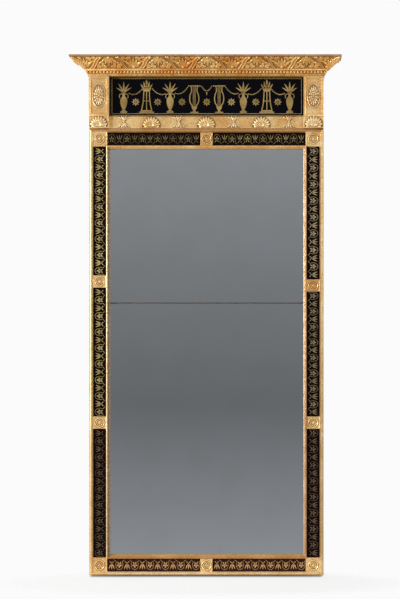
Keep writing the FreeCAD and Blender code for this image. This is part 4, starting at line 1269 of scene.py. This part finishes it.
def leaf_shape(foot, angle, length, width, bend=0.0, steps=6):
    """Outline of a pointed leaf from its foot; bend curves its tip to one side."""
    turn = math.radians(angle)
    sides = ([], [])
    for i in range(steps + 1):
        share = i / steps
        half = width / 2 * math.sin(math.pi * share**0.75) ** 0.9
        for side, points in zip((1, -1), sides):
            a, b = share * length, bend * length * share**2 + side * half
            points.append((foot[0] + a * math.cos(turn) - b * math.sin(turn),
                           foot[1] + a * math.sin(turn) + b * math.cos(turn)))
    return sides[0][:-1] + sides[1][:0:-1]


def strip_shape(line, width, end_width=None):
    """Outline of a strip that follows a line of points and may taper."""
    line = [np.array(point, float) for point in line]
    end_width = width if end_width is None else end_width
    left, right = [], []
    for i, point in enumerate(line):
        run = line[min(i + 1, len(line) - 1)] - line[max(i - 1, 0)]
        normal = np.array((-run[1], run[0])) / np.linalg.norm(run)
        half = (width + (end_width - width) * i / (len(line) - 1)) / 2
        left.append(tuple(point + normal * half))
        right.append(tuple(point - normal * half))
    return left + right[::-1]


def disc_shape(middle, across, up=None, steps=12):
    """Outline of a disc or an oval."""
    up = across if up is None else up
    turns = [math.tau * i / steps for i in range(steps)]
    return [(middle[0] + across * math.cos(a), middle[1] + up * math.sin(a)) for a in turns]


def mirrored(shapes):
    """The same shapes on the other side of the middle."""
    return [[(-q, r) for q, r in reversed(shape)] for shape in shapes]


def cut_leaf(name, shapes):
    """A flat filled curve from outlines, made a mesh that faces the front at the origin."""
    curve = bpy.data.curves.new(name, "CURVE")
    curve.dimensions = "2D"
    curve.fill_mode = "BOTH"
    curve.extrude = LEAF_THICK
    for shape in shapes:
        spline = curve.splines.new("POLY")
        spline.points.add(len(shape) - 1)
        for point, (q, r) in zip(spline.points, shape):
            point.co = (q * MM, r * MM, 0, 1)
        spline.use_cyclic_u = True
    cut = bpy.data.objects.new(name, curve)
    bpy.context.scene.collection.objects.link(cut)
    choose(cut)
    bpy.ops.object.convert(target="MESH")
    cut = bpy.context.object
    cut.data.transform(Matrix.Rotation(math.pi / 2, 4, "X"))
    return cleaned(cut)


print("leaf cutter ready")

# %% [markdown]
# The border repeats two motifs: a loop with a flower in it, and a fan palmette between two loops. The loops
# point outwards on all four sides, so one repeat is turned by quarter turns for the stiles and the bottom. In
# the top strips and low on the stiles the gold has shrunk, and its leaves are thinner there.

# %% One repeat of the border
REPEAT = 61.0
loop_line = [(-20.5, -19.5), (-16.8, -16.5)]
loop_line += [(14.2 * math.cos(a), 17.8 * math.sin(a)) for a in np.radians(np.linspace(222, -42, 17))]
loop_line += [(16.8, -16.5), (20.5, -19.5)]
MIDWAY = REPEAT / 2


def border_repeat(name, full):
    """One repeat; `full` is how much of their full width its leaves have left."""
    shapes = [strip_shape(loop_line, 1.3 * full), leaf_shape((0, 1.4), 90, 11, 6.4 * full),
              leaf_shape((MIDWAY, -3.0), 90, 21, 4.4 * full)]
    shapes += [disc_shape((0, -1.4), 1.9 * full, steps=10),
               disc_shape((MIDWAY, -6.4), 2.1 * full, steps=10)]
    for side in (-1, 1):
        shapes += [leaf_shape((side * 2.3, -0.4), 90 - side * 66, 9.0, 6.0 * full, side * 0.12),
                   leaf_shape((side * 1.6, -3.6), -90 + side * 36, 10, 4.6 * full, -side * 0.1),
                   leaf_shape((MIDWAY + side * 2.0, -4.2), 90 - side * 28, 23, 4.2 * full, side * 0.06),
                   leaf_shape((MIDWAY + side * 2.2, -8.2), -90 + side * 42, 9.0, 3.0 * full, side * 0.2)]
    return cut_leaf(name, shapes)


fresh, rubbed = border_repeat("fresh_repeat", 1.0), border_repeat("rubbed_repeat", 0.66)
print("one repeat has", len(fresh.data.polygons), "faces")

# %% Border strips
STRIP_MARGIN = 4 * MM
LAY = {"top": 0.0, "left": math.pi / 2, "bottom": math.pi, "right": -math.pi / 2}
for node_name in sorted(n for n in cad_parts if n.startswith("glass_")):
    low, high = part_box(node_name)
    middle, span = (low + high) / 2, high - low
    place, part = node_name.split("_")[1:]
    repeat = rubbed if "top" in place or "lower" in part else fresh
    length = max(span.x, span.z) - STRIP_MARGIN
    count = round(length / (REPEAT * MM))
    pitch = length / count
    laid = Matrix.Translation((middle.x, low.y - 0.5 * LEAF_THICK, middle.z))
    laid = laid @ Matrix.Rotation(-LAY[place], 4, "Y")
    stretch = Matrix.Diagonal((pitch / (REPEAT * MM), 1, 1, 1))
    twins = []
    for i in range(count):
        shift = Matrix.Translation(((i - (count - 1) / 2) * pitch - pitch / 4, 0, 0))
        twins.append(copied(repeat, laid @ shift @ stretch))
    hand_over(joined(f"leaf_{node_name}", twins), gold_leaf, "painted_glass")
bpy.data.objects.remove(fresh)
bpy.data.objects.remove(rubbed)
print("border strips laid")

# %% [markdown]
# ## Frieze
# The frieze is a plain row of classical ornaments in the same gold: lyres, vases and tripods, tied together
# by hanging garlands, with a rosette under each, inside a thin gold line. They are drawn in units, on a
# height of about 100, and only for the right half. The left half is its mirror image. Gaps between the cut
# shapes draw the joints, as scratched lines do.

# %% Curves and blocks
def smooth(points, steps=3):
    """A closed curve through points."""
    points = np.array(points, float)
    before, after = np.roll(points, 1, 0), np.roll(points, -1, 0)
    curve = []
    for i in range(steps):
        u = i / steps
        curve.append(points * (2 * u**3 - 3 * u**2 + 1) + (after - before) / 2 * (u**3 - 2 * u**2 + u)
                     + after * (3 * u**2 - 2 * u**3) + (np.roll(points, -2, 0) - points) / 2 * (u**3 - u**2))
    return [tuple(point) for group in zip(*curve) for point in group]


def flowing(line, steps=4):
    """An open curve through points: half of a closed one that goes there and back."""
    return smooth(line + line[-2:0:-1], steps)[:(len(line) - 1) * steps + 1]


def both_sides(shapes):
    """Shapes and their mirror images."""
    return shapes + mirrored(shapes)


def box_shape(half, low, high, top_half=None):
    """A block about the middle that may taper."""
    top_half = half if top_half is None else top_half
    return [(-half, low), (half, low), (top_half, high), (-top_half, high)]


print("curves and blocks ready")

# %% Garlands and rosettes
LEAF_OVERLAP, GARLAND_LEAF = 1.25, 3.4
ROSETTE_EYE, ROSETTE_HEIGHT, PETAL_LENGTH, PETAL_WIDTH = 3.2, 33.0, 8.5, 4.4


def garland(start, end, sag, count):
    """Leaves that hang in a curve between two points."""
    leaves = []
    for i in range(count):
        share = (i + 0.5) / count
        q = start[0] + (end[0] - start[0]) * share
        r = start[1] + (end[1] - start[1]) * share - sag * 4 * share * (1 - share)
        slope = math.degrees(math.atan2(end[1] - start[1] - sag * 4 * (1 - 2 * share), end[0] - start[0]))
        length = (end[0] - start[0]) / count * LEAF_OVERLAP
        leaves.append(leaf_shape((q - length / 2, r), slope, length * 0.92, GARLAND_LEAF))
    return leaves


def rosette(q):
    """A flower of eight leaves under a garland, q to the right of the middle."""
    petals = []
    for angle in range(0, 360, 45):
        turn = math.radians(angle)
        foot = (q + ROSETTE_EYE * math.cos(turn), ROSETTE_HEIGHT + ROSETTE_EYE * math.sin(turn))
        petals.append(leaf_shape(foot, angle, PETAL_LENGTH, PETAL_WIDTH))
    return petals + [disc_shape((q, ROSETTE_HEIGHT), 2.2, steps=8)]


print("a rosette of", len(rosette(0)), "shapes")

# %% Tripod, lyre and vase
TRIPOD = [box_shape(22, 0.7, 4.2), box_shape(18, 5, 8.6, 16), box_shape(9, 64, 71, 12.5),
          box_shape(13.5, 71.8, 73.8), strip_shape([(0, 9.4), (0, 63.2)], 2.6),
          disc_shape((0, 79), 2.0, 3.2, 8), leaf_shape((0, 83), 90, 18, 6.0)]
TRIPOD += both_sides([strip_shape(flowing([(8.4, 63.2), (9.2, 44), (11.6, 24), (15, 9.4)]), 2.8),
                      strip_shape([(2.1, 36), (8.4, 36)], 2.0), leaf_shape((3.4, 74.6), 62, 20, 5.2, 0.25),
                      leaf_shape((8.4, 74.6), 38, 15, 4.4, 0.3)])
LYRE = [box_shape(12, 0.7, 3.6), box_shape(4.6, 4.4, 9, 3), box_shape(5, 9.8, 20, 9),
        box_shape(14.5, 79.4, 82.2)]
LYRE += both_sides([
    strip_shape(flowing([(4, 21), (10.6, 28), (13.6, 40), (12.4, 54), (8, 66), (9.2, 78.6)]), 3.4, 2.4),
    strip_shape([(1.2, 21.4), (1.2, 78.6)], 0.9), strip_shape([(3.6, 24.6), (3.6, 78.6)], 0.9),
    disc_shape((17, 80.8), 1.9, steps=8)])
VASE = [box_shape(10, 0.7, 5), box_shape(7.4, 5.8, 8.6, 5.6), box_shape(5.4, 58.8, 61.4, 6.2),
        smooth([(2.6, 9.6), (8.2, 22), (10.4, 34), (9.6, 42), (4, 50), (3.4, 57.8), (-3.4, 57.8), (-4, 50),
                (-9.6, 42), (-10.4, 34), (-8.2, 22), (-2.6, 9.6)]), leaf_shape((0, 62.4), 90, 32, 5.2)]
VASE += both_sides([strip_shape(flowing([(4.8, 56.6), (10.8, 56), (13.2, 50.5), (11.4, 44)]), 2.2),
                    leaf_shape((1.6, 62.2), 68, 30, 4.8, -0.14), leaf_shape((3.4, 62.2), 46, 24, 4.4, -0.2)])
print("ornaments drawn")

# %% Lay the frieze
LINE_HALF, LINE_LOW, LINE_HIGH, LINE_WIDTH = 361.0, 722.0, 855.4, 2.0
UNIT = 1.28  # millimetres
FOOT_LINE = LINE_LOW + LINE_WIDTH + 0.2
ROW = ((37, LYRE), (109, VASE), (179, TRIPOD), (247, VASE))  # places to the right of the middle
GARLANDS = (((1.5, 66), (17, 80), 3.5, 5), ((56.5, 80), (95, 58.5), 9, 11),
            ((123, 58.5), (164.5, 72.8), 9, 11), ((193.5, 72.8), (233, 58.5), 9, 11))
ROSETTES = (73.5, 146, 211.5)
DROP = leaf_shape((0, 63.6), -90, 11, 3.8)  # hangs from the garland in the middle

right = [[(q + x, r) for x, r in shape] for q, ornament in ROW for shape in ornament]
right += [leaf for ends in GARLANDS for leaf in garland(*ends)]
right += [shape for q in ROSETTES for shape in rosette(q)]
design = rosette(0) + [DROP] + both_sides(right)
drawing = [[(q * UNIT, FOOT_LINE + r * UNIT) for q, r in shape] for shape in design]
half = LINE_WIDTH / 2
lines = [[(x, LINE_LOW + half), (x, LINE_HIGH - half)] for x in (-LINE_HALF, LINE_HALF)]
lines += [[(-LINE_HALF - half, z), (LINE_HALF + half, z)] for z in (LINE_LOW, LINE_HIGH)]
drawing += [strip_shape(line, LINE_WIDTH) for line in lines]
frieze_leaf = cut_leaf("leaf_frieze", drawing)
frieze_leaf.data.transform(Matrix.Translation((0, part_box("frieze_glass")[0].y - 0.5 * LEAF_THICK, 0)))
hand_over(frieze_leaf, gold_leaf, "painted_glass")
print("frieze has", len(frieze_leaf.data.polygons), "faces")

# %% [markdown]
# ## Backboards
# The backboards are planks side by side, as pine that wide never came in one piece. Each plank is a box with
# softened edges, and a hair of daylight is left between two of them.

# %% Planks
PLANKS = 5
PLANK_GAP = 0.4 * MM
for node_name in ("backboard_lower", "backboard_upper"):
    low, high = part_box(node_name)
    width = (high.x - low.x) / PLANKS
    planks = []
    for i in range(PLANKS):
        left = low.x + i * width + (PLANK_GAP if i else 0)
        right = low.x + (i + 1) * width - (PLANK_GAP if i < PLANKS - 1 else 0)
        planks.append(soften(block((left, low.y, low.z), (right, high.y, high.z)), 0.8))
    hand_over(joined(f"{node_name}_planks", planks), pine_upright, "pine", node_name)
print("planks laid")

# %% [markdown]
# ## Floor
# The mirror stands on a pale floor only for the picture. The floor fades out close to the frame, so that the
# plates reflect the room and not the floor, and a narrow painted shadow darkens it along the foot of the
# frame.

# %% Floor
FLOOR = cad_low.z
REACH_X, REACH_Y, FORWARD = 0.9, 0.3, 0.2  # half sizes of the oval floor, and how far it lies forward
# Half length and half depth of the strip where the painted contact shadow is darkest.
SHADOW_HALF, SHADOW_DEPTH = 0.43, 0.0225

floor = primitive("circle", vertices=96, radius=1.0, fill_type="NGON", location=(0, 0, FLOOR),
                  scale=(REACH_X, REACH_Y, 1.0))
floor.name = "floor"
floor.data.transform(Matrix.Translation((0, -FORWARD, 0)))
material, nodes, where = finish("pale_floor")
x, y = nodes.axis(where, 0), nodes.axis(where, 1)
spread = ((x * (1 / REACH_X)) ** 2 + ((y + FORWARD) * (1 / REACH_Y)) ** 2) ** 0.5
beside = nodes.add("Math", {0: abs(x) - SHADOW_HALF, 1: 0.0}, operation="MAXIMUM")
before = nodes.add("Math", {0: abs(y + SHADOW_DEPTH) - SHADOW_DEPTH, 1: 0.0}, operation="MAXIMUM")
# A painted contact shadow darkens the floor along the foot of the frame.
contact_shadow = nodes.step(((beside * 3) ** 2 + before**2) ** 0.5, 0.05, 0.0)
pale = nodes.mix(contact_shadow, grey(0.9), (0.12, 0.11, 0.1, 1))
paper = nodes.add("BsdfDiffuse", {"Color": pale})
glow = nodes.add("Emission", {"Color": pale, "Strength": 1.07})
seen = nodes.rays("Camera", "Glossy", "Transmission") * 0.75
shown = nodes.add("MixShader", {0: seen, 1: paper, 2: glow})
clear = nodes.add("BsdfTransparent")
faded = nodes.add("MixShader", {0: nodes.step(spread, 0.6, 0.98), 1: shown, 2: clear})
floor_output = nodes.tree.nodes.new("ShaderNodeOutputMaterial")
nodes.tree.links.new(faded.socket, floor_output.inputs["Surface"])
floor.data.materials.append(material)
print("floor at", round(FLOOR, 4))
